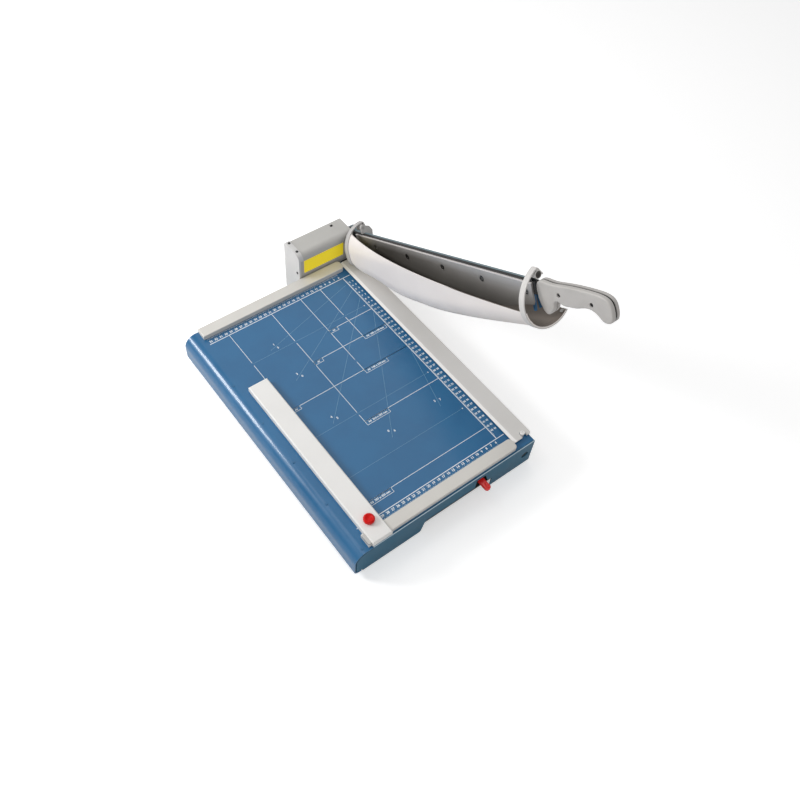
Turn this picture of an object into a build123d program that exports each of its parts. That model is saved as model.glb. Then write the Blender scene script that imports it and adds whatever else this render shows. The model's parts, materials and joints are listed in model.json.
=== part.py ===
from build123d import *
import os
from math import cos, pi, radians, sin, sqrt

# Lever guillotine for paper: rolled steel table, pressing bar, side gauge, raised knife arm
# with a swinging trough guard, and a line-light box behind the table.
#
# Work frame while modelling (millimetres): X = 0 is the cutting plane, the table lies on the
# -X side; Y = 0 is the face of the back stop rail, the operator stands at -Y; Z = 0 is the
# floor. At the end everything is shifted so that the origin is the middle of the footprint.

os.makedirs("parts", exist_ok=True)

# ---------------------------------------------------------------- driving sizes
TABLE_HEIGHT = 62.0          # floor to table top
TABLE_WIDTH = 366.0          # cutting plane to the rolled left side
CUT_LENGTH = 460.0
FRONT_MARGIN = 26.0          # front skirt's outer face beyond the cut
TABLE_BACK = 22.0            # back stop to the rear skirt's outer face
SHEET = 2.0                  # table and skirt sheet
ROLL_RADIUS = 22.0           # rolled left edge, outer
ROLL_LIP_RADIUS = 10.0       # lower lip of the rolled side
SIDE_DROP = 56.0             # table top to the lip of the rolled side
SKIRT_DROP = 58.0            # table top to the skirt's feet
SKIRT_ARCH = 30.0            # table top to the skirt's raised middle
SEAM = 0.5                   # open seam between neighbouring sheets
END_GAP = 2.0                # shadow gap between the rolled side and the skirts
SKIRT_TUCK = 34.0            # the skirts reach this far under the rolled side
LIP_RUN = 4.0                # flat end of the rolled side's lower lip
ARCH_LEFT = 230.0            # the skirts' arch starts here, from the cutting plane
REAR_ARCH_RIGHT = 160.0
EASE = 0.3                   # easy clearance between pieces that only pass

LOWER_BLADE_THICKNESS = 4.0
LOWER_BLADE_DEPTH = 32.0
LOWER_BLADE_OVERHANG = 8.0   # lower blade beyond each end of the cut
LOWER_SCREW_INSET = 30.0     # first and last screw from the ends of the cut
LOWER_SCREW_GRIP = 11.0      # screw's length in the bed
SHEAR_GAP = 0.15             # lower blade face to the cutting plane
BLADE_SCREW_COUNT = 6
M5_RADIUS = 2.5
CSK_HEAD_RADIUS = 5.0
CSK_HEAD_DEPTH = 2.4

BED_WIDTH = 26.0
BED_DEPTH = 40.0
BED_TAIL = 62.0              # the bed runs this far behind the back stop
BED_TAIL_DROP = 8.0          # the tail is lower than the table top
RELIEF_DEPTH = 18.0          # rebate under the bed
RELIEF_REAR = 40.0           # rebate's rear end before the back stop
RELIEF_FRONT = 30.0          # rebate's front end behind the front end of the cut

RIB_WIDTH = 36.0
RIB_HEIGHT = 20.0
RIB_INSET = 31.0             # first and last rib from the skirts
FOOT_RADIUS = 13.0
FOOT_INSET = 34.0            # feet from the rib ends

RAIL_MARGIN = 28.0           # rails' left ends from the rolled side
RAIL_CLEARANCE = 2.0         # rails' right ends from the pressing bar
BACK_RAIL_HEIGHT = 9.0
FRONT_RAIL_HEIGHT = 8.0
FRONT_RAIL_WIDTH = 21.0
FRONT_RAIL_INSET = 4.0       # front rail from the skirt's face
RAIL_EDGE = 1.2
RIVET_COUNT = 5
RIVET_RADIUS = 2.0
RIVET_INSET = 9.0            # first rivet from the skirt's face
RIVET_PITCH = 91.0

CLAMP_WIDTH = 36.3
CLAMP_RIGHT = 1.5            # pressing bar from the cutting plane
CLAMP_THICKNESS = 2.6
CLAMP_SETBACK = 14.0         # bar's front end behind the front skirt's face
CLAMP_REAR = 16.5
CLAMP_LIFT = 2.6             # gap under the raised bar
CLAMP_LIP = 5.0              # bevelled left border
STEM_RADIUS = 4.0
STEM_LENGTH = 30.0
STEM_INSET = 20.0            # rear stem from the back stop, front stem from the bar's front end
RUNNING_FIT = 0.05
SPRING_COIL_RADIUS = 5.6
SPRING_WIRE = 1.0
SPRING_TURNS = 4
SPRING_POCKET_DEPTH = 12.0
POST_INSET = 6.5             # guide post from the bar's front end
POST_SIDE = 15.5             # guide post from the cutting plane
POST_RADIUS = 3.2
POST_GRIP = 13.5             # post's length in the bed

GAUGE_WIDTH = 36.0
GAUGE_MARGIN = 5.0           # parked gauge from the rails' left ends
GAUGE_BACK = 138.0           # back end of the gauge from the back stop
GAUGE_HEIGHT = 12.0
GAUGE_WALL = 2.0
GAUGE_LIFT = 0.4
GAUGE_FRONT_LIP = 1.6        # how far the gauge stands before the front rail
KNOB_RADIUS = 9.0
KNOB_HEIGHT = 7.0
KNOB_STUD_RADIUS = 3.0

LEVER_X = 117.0              # press lever's tongue from the cutting plane
LEVER_DROP = 18.5            # middle of the tongue below the table top
LEVER_WIDTH = 11.0
LEVER_THICKNESS = 7.5
LEVER_REACH = 19.5           # tongue in front of the skirt
LEVER_BAR = 4.0              # lever's plate thickness
LEVER_BAR_DEPTH = 11.0
LEVER_PIVOT_BACK = 9.0       # lever's pivot behind the front rib
LEVER_PIVOT_DROP = 33.0      # lever's pivot below the table top
LEVER_PIN_RADIUS = 3.5
NOTCH_LEFT = 128.0           # skirt's notch for the lever, from the cutting plane
NOTCH_RIGHT = 91.0
NOTCH_RISE = 21.0            # the notch's top above the arch
NOTCH_LEDGE = 34.0           # table top to the low end of the notch's slanting top

PIVOT_Y = 38.8               # arm pivot behind the back stop
PIVOT_RISE = 26.1            # arm pivot above the table top
PIVOT_RADIUS = 8.0
BUSH_WALL = 2.0
HUB_RADIUS = 24.0
REST_ANGLE = 29.0            # raised arm above the table
BRACKET_THICKNESS = 12.0
BRACKET_RADIUS = 12.0
BOSS_RADIUS = 11.0
BRACKET_INSET = 7.0          # bracket face from the cutting plane
BRACKET_SCREW_GRIP = 13.0    # bracket screw's length in the bed
BRACKET_FLANGE = 6.0
BOLT_TAIL = 14.0             # bolt's end beyond the bracket
BOLT_HEAD_RADIUS = 13.0
NUT_RADIUS = 13.8
NUT_THICKNESS = 9.0
WASHER_THICKNESS = 1.0
THRUST_GAP = 0.2

BLADE_THICKNESS = 3.0
ARM_WEB = 8.0
HUB_WIDTH = 14.0
ARM_TOP = 18.0               # top of the arm above its pivot line
ARM_WEB_DEPTH = 30.0
BLADE_TOP = 15.8
BLADE_FIRST_SCREW = 89.5
BLADE_LAST_SCREW = 12.5      # last screw from the knife's nose
ARM_SCREW_COUNT = 5
NOSE_REACH = 38.0            # arm pivot to the knife's nose, beyond the length of the cut
BLADE_HEEL_DROP = 22.5       # knife's edge below the pivot line at its rear end
BLADE_BELLY_DROP = 44.0
BLADE_NOSE_DROP = 18.5
BLADE_BEVEL = 4.0
BLADE_STATIONS = 9

FORK_SETBACK = 18.0          # guard fork's rear end behind the knife's nose
FORK_LENGTH = 22.0
FORK_CROWN = 11.0
FORK_DROP = 36.5             # fork's tip below the pivot line
FORK_THICKNESS = 3.0

HANDLE_HALF = 6.0            # thickness of one handle shell
HANDLE_GAP = 0.6             # between the guard's front end and the handle
HANDLE_LENGTH = 138.2
HANDLE_TOP = 26.2            # crown of the grip above the pivot line
GRIP_DROP = 5.8              # underside of the grip below the pivot line
LOBE_LENGTH = 31.5           # finger lobe in front of the grip's notch
LOBE_DROP = 27.5
HEEL_LENGTH = 30.0
HEEL_DROP = 13.6
TANG_THICKNESS = 3.0
TANG_SIDE = 2.5              # tang from the knife side of the arm
TANG_RECESS = 1.2            # tang's rim below the shells' outline
HANDLE_ROUND = 2.4
HANDLE_SCREW_RADIUS = 2.0
HANDLE_HOLE_RADIUS = 3.4
FRONT_SCREW_SETBACK = 11.7   # first handle screw behind the finger lobe
HEEL_SCREW_SETBACK = 4.8     # second handle screw before the heel

GUARD_START = 34.0           # guard's rear end from the arm pivot, along the arm
GUARD_OVERHANG = 10.0        # guard's front end beyond the knife's nose
GUARD_SHEET = 1.5
HANGER_WIDTH = 10.0
HANGER_THICKNESS = 2.0
GUARD_AXIS_X = 8.0           # guard's swing axis across the arm
GUARD_AXIS_V = 28.0          # guard's swing axis above the arm's pivot line
GUARD_PIN_RADIUS = 3.0
KNUCKLE_RADIUS = 6.3
EAR_THICKNESS = 4.0
TROUGH_LEFT_REAR = 32.0      # trough's outer sides and bottom from the arm's pivot line
TROUGH_LEFT_FRONT = 25.5
TROUGH_RIGHT_REAR = 38.0
TROUGH_RIGHT_FRONT = 64.5
TROUGH_DROP_REAR = 34.0
TROUGH_DROP_FRONT = 57.5
GUARD_BELLY = 40.3           # extra depth of the trough in its middle
BELLY_SKEW = 0.70            # below 1 the deepest place lies nearer the pivot
SETTLE = 0.12                # share of the length over which the rear's corners open into the round
REAR_LEFT_ROUND = 14.0
REAR_RIGHT_ROUND = 30.0
FOLD_SIDE_REAR = 12.0        # crest of the guard above the arm
FOLD_SIDE_FRONT = 7.0
FOLD_RISE_REAR = 36.0
FOLD_RISE_FRONT = 37.0
RIM_FRONT_DROP = 18.0        # near rim below the pivot line at the front
RIM_RISE = 45.0              # the near rim climbs this much towards the pivot
RIM_CURVE = 2.4
FAR_RIM_REAR_DROP = 20.0
FAR_RIM_FRONT_DROP = 47.0
FAR_WALL_TOP = 8.0           # construction height of the far wall, above both rims

BOX_LEFT = 123.0             # light box's left end from the cutting plane
BOX_RIGHT = 3.5
BOX_FRONT = 24.5             # light box's front wall behind the back stop
BOX_BACK = 70.0
BOX_RISE = 60.0              # light box above the table top
BOX_DROP = 50.0              # light box below the table top
BOX_SHEET = 1.5
BOX_FRONT_BEND = 12.0
BOX_BACK_BEND = 4.0
CAP_THICKNESS = 1.6
CAP_OVERLAP = 8.0
CAP_FRONT_OVERLAP = 2.5
CAP_SIDE_SCREW_RISE = 17.5   # the screw in the end plate above the table top
LIGHT_RADIUS = 6.0
LIGHT_X = 13.0               # light barrel from the cutting plane
LIGHT_DROP = 17.0            # light barrel below the box's top
TRAY_HEM = 14.0
BATTERY_HEIGHT = 34.0
BATTERY_GAP = 12.0           # battery case from the ends of the box

# ---------------------------------------------------------------- derived places
TOP = TABLE_HEIGHT
UNDER = TOP - SHEET
TABLE_FRONT = CUT_LENGTH + FRONT_MARGIN
CLAMP_FRONT = TABLE_FRONT - CLAMP_SETBACK
BLADE_NOSE = CUT_LENGTH + NOSE_REACH
BLADE_SCREW_PITCH = (BLADE_NOSE - BLADE_FIRST_SCREW - BLADE_LAST_SCREW) / (ARM_SCREW_COUNT - 1)
FORK_START = BLADE_NOSE - FORK_SETBACK
GUARD_END = BLADE_NOSE + GUARD_OVERHANG
HANDLE_START = GUARD_END + HANDLE_GAP
LOWER_BLADE_RIGHT = -SHEAR_GAP
LOWER_BLADE_LEFT = LOWER_BLADE_RIGHT - LOWER_BLADE_THICKNESS
SHEET_RIGHT = LOWER_BLADE_LEFT - SEAM
BED_RIGHT = LOWER_BLADE_LEFT
BED_LEFT = BED_RIGHT - BED_WIDTH
BED_TOP = UNDER
BED_BOTTOM = BED_TOP - BED_DEPTH
SKIRT_FRONT_INNER = -TABLE_FRONT + SHEET
SKIRT_BACK_INNER = TABLE_BACK - SHEET
RIB_LEFT = -TABLE_WIDTH + ROLL_RADIUS
RIB_RIGHT = BED_LEFT
RIB_BOTTOM = UNDER - RIB_HEIGHT
RIB_MIDDLE_Y = (SKIRT_FRONT_INNER + SKIRT_BACK_INNER) / 2
RIB_YS = [SKIRT_FRONT_INNER + RIB_INSET, RIB_MIDDLE_Y, SKIRT_BACK_INNER - RIB_INSET]
CLAMP_BOTTOM = TOP + CLAMP_LIFT
CLAMP_TOP = CLAMP_BOTTOM + CLAMP_THICKNESS
CLAMP_LEFT = -CLAMP_RIGHT - CLAMP_WIDTH
CLAMP_MIDDLE = -CLAMP_RIGHT - CLAMP_WIDTH / 2
STEM_YS = [-STEM_INSET, -CLAMP_FRONT + STEM_INSET]
RAIL_LEFT = -TABLE_WIDTH + RAIL_MARGIN
RAIL_RIGHT = CLAMP_LEFT - RAIL_CLEARANCE
SPRING_POCKET_RADIUS = SPRING_COIL_RADIUS + SPRING_WIRE + EASE
POST_Y = -CLAMP_FRONT + POST_INSET
LEVER_PIVOT_Y = RIB_YS[0] + RIB_WIDTH / 2 + LEVER_PIVOT_BACK
LEVER_PIVOT_Z = TOP - LEVER_PIVOT_DROP
FRONT_RAIL_Y = -TABLE_FRONT + FRONT_RAIL_INSET
GAUGE_LEFT = RAIL_LEFT + GAUGE_MARGIN
GAUGE_RIGHT = GAUGE_LEFT + GAUGE_WIDTH
GAUGE_MIDDLE = GAUGE_LEFT + GAUGE_WIDTH / 2
GAUGE_FRONT = FRONT_RAIL_Y - GAUGE_FRONT_LIP - GAUGE_WALL
GAUGE_TOP = TOP + GAUGE_HEIGHT
KNOB_Y = FRONT_RAIL_Y + FRONT_RAIL_WIDTH + KNOB_RADIUS + GAUGE_WALL
PIVOT_Z = TOP + PIVOT_RISE
ARM_LEFT = BLADE_THICKNESS
WEB_RIGHT = ARM_LEFT + ARM_WEB
HUB_RIGHT = ARM_LEFT + HUB_WIDTH
TANG_LEFT = ARM_LEFT + TANG_SIDE
TANG_RIGHT = TANG_LEFT + TANG_THICKNESS
HANDLE_LEFT = TANG_LEFT - HANDLE_HALF
HANDLE_RIGHT = TANG_RIGHT + HANDLE_HALF
BRACKET_RIGHT = -BRACKET_INSET
BRACKET_LEFT = BRACKET_RIGHT - BRACKET_THICKNESS
REAR_HANGER_END = GUARD_START + HANGER_WIDTH
FRONT_HANGER_START = GUARD_END - HANGER_WIDTH
BOX_TOP = TOP + BOX_RISE
BOX_BOTTOM = TOP - BOX_DROP

# ---------------------------------------------------------------- helpers


def box(x, y, z):
    """Block between low and high corners, each given as a (low, high) pair."""
    size = (x[1] - x[0], y[1] - y[0], z[1] - z[0])
    centre = ((x[0] + x[1]) / 2, (y[0] + y[1]) / 2, (z[0] + z[1]) / 2)
    return Pos(*centre) * Box(*size)


def upright(x, y, z, radius):
    """Round bar standing along Z between the two heights in z."""
    return Pos(x, y, (z[0] + z[1]) / 2) * Cylinder(radius, z[1] - z[0])


def crossways(x, y, z, radius):
    """Round bar lying along X between the two places in x."""
    return Pos((x[0] + x[1]) / 2, y, z) * Rot(Y=90) * Cylinder(radius, x[1] - x[0])


def front_plane(y):
    """Sketch plane in the XZ direction; an extrusion from it runs towards +Y."""
    return Plane(origin=(0, y, 0), x_dir=(-1, 0, 0), z_dir=(0, 1, 0))


def skirt_points(*points):
    """Points given as (x, z), written for front_plane, whose own x runs towards -X."""
    return [(-x, z) for x, z in points]


def side_plane(x):
    """Sketch plane of (length along the arm, height); an extrusion runs towards -X."""
    return Plane(origin=(x, 0, 0), x_dir=(0, -1, 0), z_dir=(-1, 0, 0))


def arm_plane(u):
    """Sketch plane of (x, height) across the arm at length u; an extrusion runs on along the arm."""
    return Plane(origin=(0, -u, 0), x_dir=(1, 0, 0), z_dir=(0, -1, 0))


def side_plate(face, left, right):
    return extrude(side_plane(right) * face, amount=right - left)


def outline(*points):
    return make_face(Polyline(*points, close=True))


def countersunk(length):
    """Countersunk screw along +X, the flat head's face at x = 0 and the shank towards -X."""
    half = Polyline(
        (0, 0), (CSK_HEAD_RADIUS, 0), (CSK_HEAD_RADIUS - 0.4, -0.5),
        (M5_RADIUS, -CSK_HEAD_DEPTH), (M5_RADIUS, -length), (0, -length), close=True)
    body = revolve(Plane.XZ * make_face(half), axis=Axis.Z)
    drive = Pos(0, 0, -0.7) * extrude(RegularPolygon(1.7, 6), amount=1.4)
    return Rot(Y=90) * (body - drive)


def countersink(length):
    """Hole that takes the countersunk screw, a hair larger than the screw all over."""
    half = Polyline(
        (0, 0.5), (CSK_HEAD_RADIUS + 0.3, 0.5), (CSK_HEAD_RADIUS + 0.1, -0.4),
        (M5_RADIUS + 0.1, -CSK_HEAD_DEPTH - 0.4), (M5_RADIUS + 0.1, -length - 1), (0, -length - 1), close=True)
    return Rot(Y=90) * revolve(Plane.XZ * make_face(half), axis=Axis.Z)


def lerp(a, b, t):
    return a + (b - a) * t


# ---------------------------------------------------------------- table and frame


def table_sheet():
    """Table top with its rolled left side, one bent sheet along Y."""
    path = Polyline(
        (SHEET_RIGHT, TOP), (-TABLE_WIDTH, TOP), (-TABLE_WIDTH, TOP - SIDE_DROP),
        (-TABLE_WIDTH + 2 * ROLL_LIP_RADIUS, TOP - SIDE_DROP), (SHEET_RIGHT, TOP - SIDE_DROP), close=True)
    outer = make_face(path)
    corners = outer.vertices().filter_by(lambda v: v.X < -TABLE_WIDTH + 1).sort_by(Axis.Y)
    outer = fillet(corners[-1:], ROLL_RADIUS)
    lip_corner = outer.vertices().filter_by(lambda v: v.X < -TABLE_WIDTH + 1 and v.Y < TOP - SIDE_DROP + 1)
    outer = fillet(lip_corner, ROLL_LIP_RADIUS)
    inner = offset(outer, -SHEET)
    lip_end = -TABLE_WIDTH + ROLL_LIP_RADIUS + LIP_RUN
    opening = Pos(lip_end / 2, TOP - SIDE_DROP / 2 - SHEET) * Rectangle(-lip_end, SIDE_DROP)
    profile = outer - inner - opening
    place = Plane(origin=(0, -TABLE_FRONT, 0), x_dir=(1, 0, 0), z_dir=(0, -1, 0))
    sheet = extrude(place * profile, -(TABLE_FRONT + TABLE_BACK))
    flat = (-TABLE_WIDTH + SKIRT_TUCK, 0)
    rise = (TOP - SHEET - END_GAP, TOP + 1)
    sheet -= box(flat, (-TABLE_FRONT - 1, SKIRT_FRONT_INNER + SEAM), rise)
    sheet -= box(flat, (SKIRT_BACK_INNER - SEAM, TABLE_BACK + 1), rise)
    for y in STEM_YS:
        sheet -= upright(CLAMP_MIDDLE, y, (UNDER - 1, TOP + 1), SPRING_POCKET_RADIUS)
    return sheet - upright(-POST_SIDE, POST_Y, (UNDER - 1, TOP + 1), POST_RADIUS + EASE)


def skirt_blank(*lower):
    """End plate without thickness: full height at the flat table, tucked inside the rolled side.

    The points of its lower edge run from the left foot to the right one.
    """
    left = -TABLE_WIDTH + SHEET + END_GAP
    tucked = TOP - SHEET - END_GAP
    shoulder = -TABLE_WIDTH + SKIRT_TUCK + SEAM
    above_lip = TOP - SIDE_DROP + SHEET + END_GAP
    foot_left = -TABLE_WIDTH + ROLL_LIP_RADIUS + LIP_RUN + END_GAP
    foot = TOP - SKIRT_DROP
    shape = outline(*skirt_points(
        (BED_RIGHT, TOP), (shoulder, TOP), (shoulder, tucked), (left, tucked), (left, above_lip),
        (foot_left, above_lip), (foot_left, foot), *lower, (BED_RIGHT, foot)))
    top_corner = shape.vertices().filter_by(lambda v: v.X > -left - 1 and v.Y > tucked - 1)
    shape = fillet(top_corner, ROLL_RADIUS - SHEET - END_GAP)
    low_corner = shape.vertices().filter_by(lambda v: v.X > -left - 1 and v.Y < above_lip + 1)
    return fillet(low_corner, ROLL_LIP_RADIUS - SHEET - END_GAP)


def arch_step(x, towards):
    """Two points of the S-shaped step between a foot and the arch, at x."""
    step = (SKIRT_DROP - SKIRT_ARCH) / 4
    return [(x - towards * step, TOP - SKIRT_DROP), (x, TOP - SKIRT_ARCH)]


def round_steps(shape, low, high, radius):
    """Round the corners of a skirt's lower edge between two places in x."""
    corners = shape.vertices().filter_by(lambda v: low < -v.X < high and v.Y < TOP - SKIRT_ARCH / 4)
    return fillet(corners, radius)


def front_skirt():
    """Front plate: left foot, arch, notch for the press lever and right foot."""
    arch = TOP - SKIRT_ARCH
    foot = TOP - SKIRT_DROP
    notch_top = arch + NOTCH_RISE
    slant = (NOTCH_LEFT - NOTCH_RIGHT) / 4
    notch = [
        (-NOTCH_LEFT, arch), (-NOTCH_LEFT, notch_top), (-NOTCH_LEFT + 2 * slant, notch_top),
        (-NOTCH_RIGHT - slant, TOP - NOTCH_LEDGE + SHEET), (-NOTCH_RIGHT, TOP - NOTCH_LEDGE),
        (-NOTCH_RIGHT, foot)]
    shape = skirt_blank(*arch_step(-ARCH_LEFT, 1), *notch)
    shape = round_steps(shape, -ARCH_LEFT - SKIRT_ARCH, -ARCH_LEFT + 1, (SKIRT_DROP - SKIRT_ARCH) / 4)
    shape = round_steps(shape, -NOTCH_LEFT - 1, -NOTCH_RIGHT + 1, 1.5)
    plate = extrude(front_plane(-TABLE_FRONT) * shape, amount=SHEET)
    access = Pos(-CLAMP_MIDDLE, TOP - SKIRT_ARCH) * Circle(POST_RADIUS + 4)
    plate -= extrude(front_plane(-TABLE_FRONT - 1) * access, amount=SHEET + 2)
    return fillet(plate.edges().group_by(Axis.Y)[0].group_by(Axis.Z)[-1], SHEET * 0.7)


def rear_skirt():
    """Rear plate: two feet and an arch, cut away for the bed's tail."""
    shape = skirt_blank(*arch_step(-ARCH_LEFT, 1), *reversed(arch_step(-REAR_ARCH_RIGHT, -1)))
    step = (SKIRT_DROP - SKIRT_ARCH) / 4
    shape = round_steps(shape, -ARCH_LEFT - SKIRT_ARCH, -REAR_ARCH_RIGHT + SKIRT_ARCH, step)
    plate = extrude(front_plane(SKIRT_BACK_INNER) * shape, amount=SHEET)
    tail = box((BED_LEFT - SEAM, 0), (0, TABLE_BACK + 1), (BED_BOTTOM - SEAM, TOP + 1))
    return plate - tail


def blade_bed():
    """Cast bar under the cutting edge; its lower tail carries the arm's pivot."""
    bar = box((BED_LEFT, BED_RIGHT), (SKIRT_FRONT_INNER, SKIRT_BACK_INNER), (BED_BOTTOM, BED_TOP))
    tail = box((BED_LEFT, BED_RIGHT), (SKIRT_BACK_INNER, BED_TAIL), (BED_BOTTOM, TOP - BED_TAIL_DROP))
    relief = box(
        (BED_LEFT - 1, BED_LEFT + BED_WIDTH / 2), (-CUT_LENGTH + RELIEF_FRONT, -RELIEF_REAR),
        (BED_BOTTOM - 1, BED_BOTTOM + RELIEF_DEPTH))
    bed = bar + tail - fillet(relief.edges().filter_by(Axis.X), 6)
    for y in STEM_YS:
        bed -= upright(CLAMP_MIDDLE, y, (BED_BOTTOM - 1, BED_TOP + 1), STEM_RADIUS + RUNNING_FIT)
        bed -= upright(CLAMP_MIDDLE, y, (BED_TOP - SPRING_POCKET_DEPTH, BED_TOP + 1), SPRING_POCKET_RADIUS)
    bed -= upright(-POST_SIDE, POST_Y, (BED_TOP - POST_GRIP - 0.5, BED_TOP + 1), POST_RADIUS)
    for x, y in bracket_screw_places():
        bed -= upright(x, y, (TOP - BED_TAIL_DROP - BRACKET_SCREW_GRIP - 1, TOP), M5_RADIUS)
    for y in lower_screw_ys():
        bed -= crossways((BED_RIGHT - LOWER_SCREW_GRIP - 1, BED_RIGHT + 1), y, lower_screw_z(), M5_RADIUS + 0.1)
    return bed


def cross_ribs():
    """Three folded channels that carry the table between the rolled side and the bed."""
    channel = Rectangle(RIB_WIDTH, RIB_HEIGHT) - Pos(0, -SHEET) * Rectangle(RIB_WIDTH - 2 * SHEET, RIB_HEIGHT)
    ribs = []
    for y in RIB_YS:
        place = Plane(origin=(RIB_LEFT, y, UNDER - RIB_HEIGHT / 2), x_dir=(0, 1, 0), z_dir=(1, 0, 0))
        ribs.append(extrude(place * channel, amount=RIB_RIGHT - RIB_LEFT))
    return ribs


def foot_places():
    xs = (RIB_LEFT + FOOT_INSET, RIB_RIGHT - FOOT_INSET)
    return [(x, y) for x in xs for y in (RIB_YS[0], RIB_YS[-1])]


def rubber_feet():
    """Tapered feet with a recessed sole, standing on the floor under the outer ribs."""
    height = RIB_BOTTOM + RIB_HEIGHT - SHEET
    low = FOOT_RADIUS - 3
    half = Polyline(
        (3, 1.5), (low - 2.5, 1.5), (low - 2.5, 0), (low, 0), (low + 1.2, 1.4), (FOOT_RADIUS, RIB_BOTTOM),
        (FOOT_RADIUS - 1, height), (3, height), close=True)
    foot = revolve(Plane.XZ * make_face(half), axis=Axis.Z)
    return [Pos(x, y, 0) * foot for x, y in foot_places()]


# ---------------------------------------------------------------- lower blade


def lower_screw_ys():
    pitch = (CUT_LENGTH - 2 * LOWER_SCREW_INSET) / (BLADE_SCREW_COUNT - 1)
    return [-LOWER_SCREW_INSET - i * pitch for i in range(BLADE_SCREW_COUNT)]


def lower_screw_z():
    return TOP - LOWER_BLADE_DEPTH / 2


def lower_blade():
    blade = box(
        (LOWER_BLADE_LEFT, LOWER_BLADE_RIGHT), (-CUT_LENGTH - LOWER_BLADE_OVERHANG, LOWER_BLADE_OVERHANG),
        (TOP - LOWER_BLADE_DEPTH, TOP))
    for y in lower_screw_ys():
        blade -= Pos(LOWER_BLADE_RIGHT, y, lower_screw_z()) * countersink(LOWER_BLADE_THICKNESS)
    return blade


def lower_blade_screws():
    screw = countersunk(LOWER_BLADE_THICKNESS + LOWER_SCREW_GRIP)
    return [Pos(LOWER_BLADE_RIGHT - 0.2, y, lower_screw_z()) * screw for y in lower_screw_ys()]


# ---------------------------------------------------------------- rails and side rivets


def rail(y, height, corner):
    """Flat bar with rounded right corners and softly broken top edges."""
    bar = box((RAIL_LEFT, RAIL_RIGHT), y, (TOP, TOP + height))
    bar = fillet(bar.edges().filter_by(Axis.Z).group_by(Axis.X)[-1], corner)
    return fillet(bar.edges().group_by(Axis.Z)[-1], RAIL_EDGE)


def back_rail():
    return rail((0, TABLE_BACK - SEAM), BACK_RAIL_HEIGHT, 7)


def front_rail():
    return rail((FRONT_RAIL_Y, FRONT_RAIL_Y + FRONT_RAIL_WIDTH), FRONT_RAIL_HEIGHT, 6)


def side_rivets():
    """Flat rivet heads in a row along the rolled side."""
    head = Cylinder(RIVET_RADIUS, 0.6)
    return [Pos(-TABLE_WIDTH + ROLL_RADIUS - 4, y, TOP + 0.3) * head for y in rivet_ys()]


def rivet_ys():
    return [-TABLE_FRONT + RIVET_INSET + RIVET_PITCH * i for i in range(RIVET_COUNT)]


# ---------------------------------------------------------------- pressing bar


def clamp_plate():
    """Pressing bar beside the cut: flat bar with a bevelled border and two guide stems."""
    section = outline(
        (-CLAMP_RIGHT, CLAMP_BOTTOM), (-CLAMP_RIGHT, CLAMP_TOP), (CLAMP_LEFT + CLAMP_LIP, CLAMP_TOP),
        (CLAMP_LEFT + 1, CLAMP_BOTTOM + 1.2), (CLAMP_LEFT, CLAMP_BOTTOM + 0.8), (CLAMP_LEFT, CLAMP_BOTTOM))
    place = Plane(origin=(0, -CLAMP_FRONT, 0), x_dir=(1, 0, 0), z_dir=(0, -1, 0))
    bar = extrude(place * section, amount=-(CLAMP_FRONT + CLAMP_REAR))
    notch_radius = POST_RADIUS + 1.5
    slot = upright(-POST_SIDE, POST_Y, (TOP, CLAMP_TOP + 1), notch_radius)
    across = (-POST_SIDE - notch_radius, -POST_SIDE + notch_radius)
    slot += box(across, (-CLAMP_FRONT - 1, POST_Y), (TOP, CLAMP_TOP + 1))
    bar -= slot
    corners = bar.edges().filter_by(Axis.Z).filter_by(lambda e: e.center().Y < -CLAMP_FRONT + 1)
    bar = fillet(corners.sort_by(Axis.X)[-1:], 3)
    for y in STEM_YS:
        bar += upright(CLAMP_MIDDLE, y, (CLAMP_BOTTOM - STEM_LENGTH, CLAMP_BOTTOM + 0.5), STEM_RADIUS)
    return bar


def clamp_springs():
    """Lifting springs round the stems, between the bed's pockets and the bar."""
    low = BED_TOP - SPRING_POCKET_DEPTH + SPRING_WIRE / 2 + 0.05
    rise = CLAMP_BOTTOM - low - SPRING_WIRE / 2 - 0.05
    path = Helix(rise / SPRING_TURNS, rise, SPRING_COIL_RADIUS)
    start = Plane(origin=path @ 0, z_dir=path % 0)
    coil = sweep(start * Circle(SPRING_WIRE / 2), path=path)
    return [Pos(CLAMP_MIDDLE, y, low) * coil for y in STEM_YS]


def guide_post():
    """Shoulder screw that the pressing bar's front notch slides on."""
    shank = upright(-POST_SIDE, POST_Y, (BED_TOP - POST_GRIP, CLAMP_TOP + 0.6), POST_RADIUS)
    head = upright(-POST_SIDE, POST_Y, (CLAMP_TOP + 0.6, CLAMP_TOP + 3), POST_RADIUS + 0.9)
    head = fillet(head.edges().group_by(Axis.Z)[-1], 0.8)
    hexagon = Pos(-POST_SIDE, POST_Y, CLAMP_TOP + 1.6) * extrude(RegularPolygon(2, 6), amount=2)
    return shank + head - hexagon


# ---------------------------------------------------------------- side gauge


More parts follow.
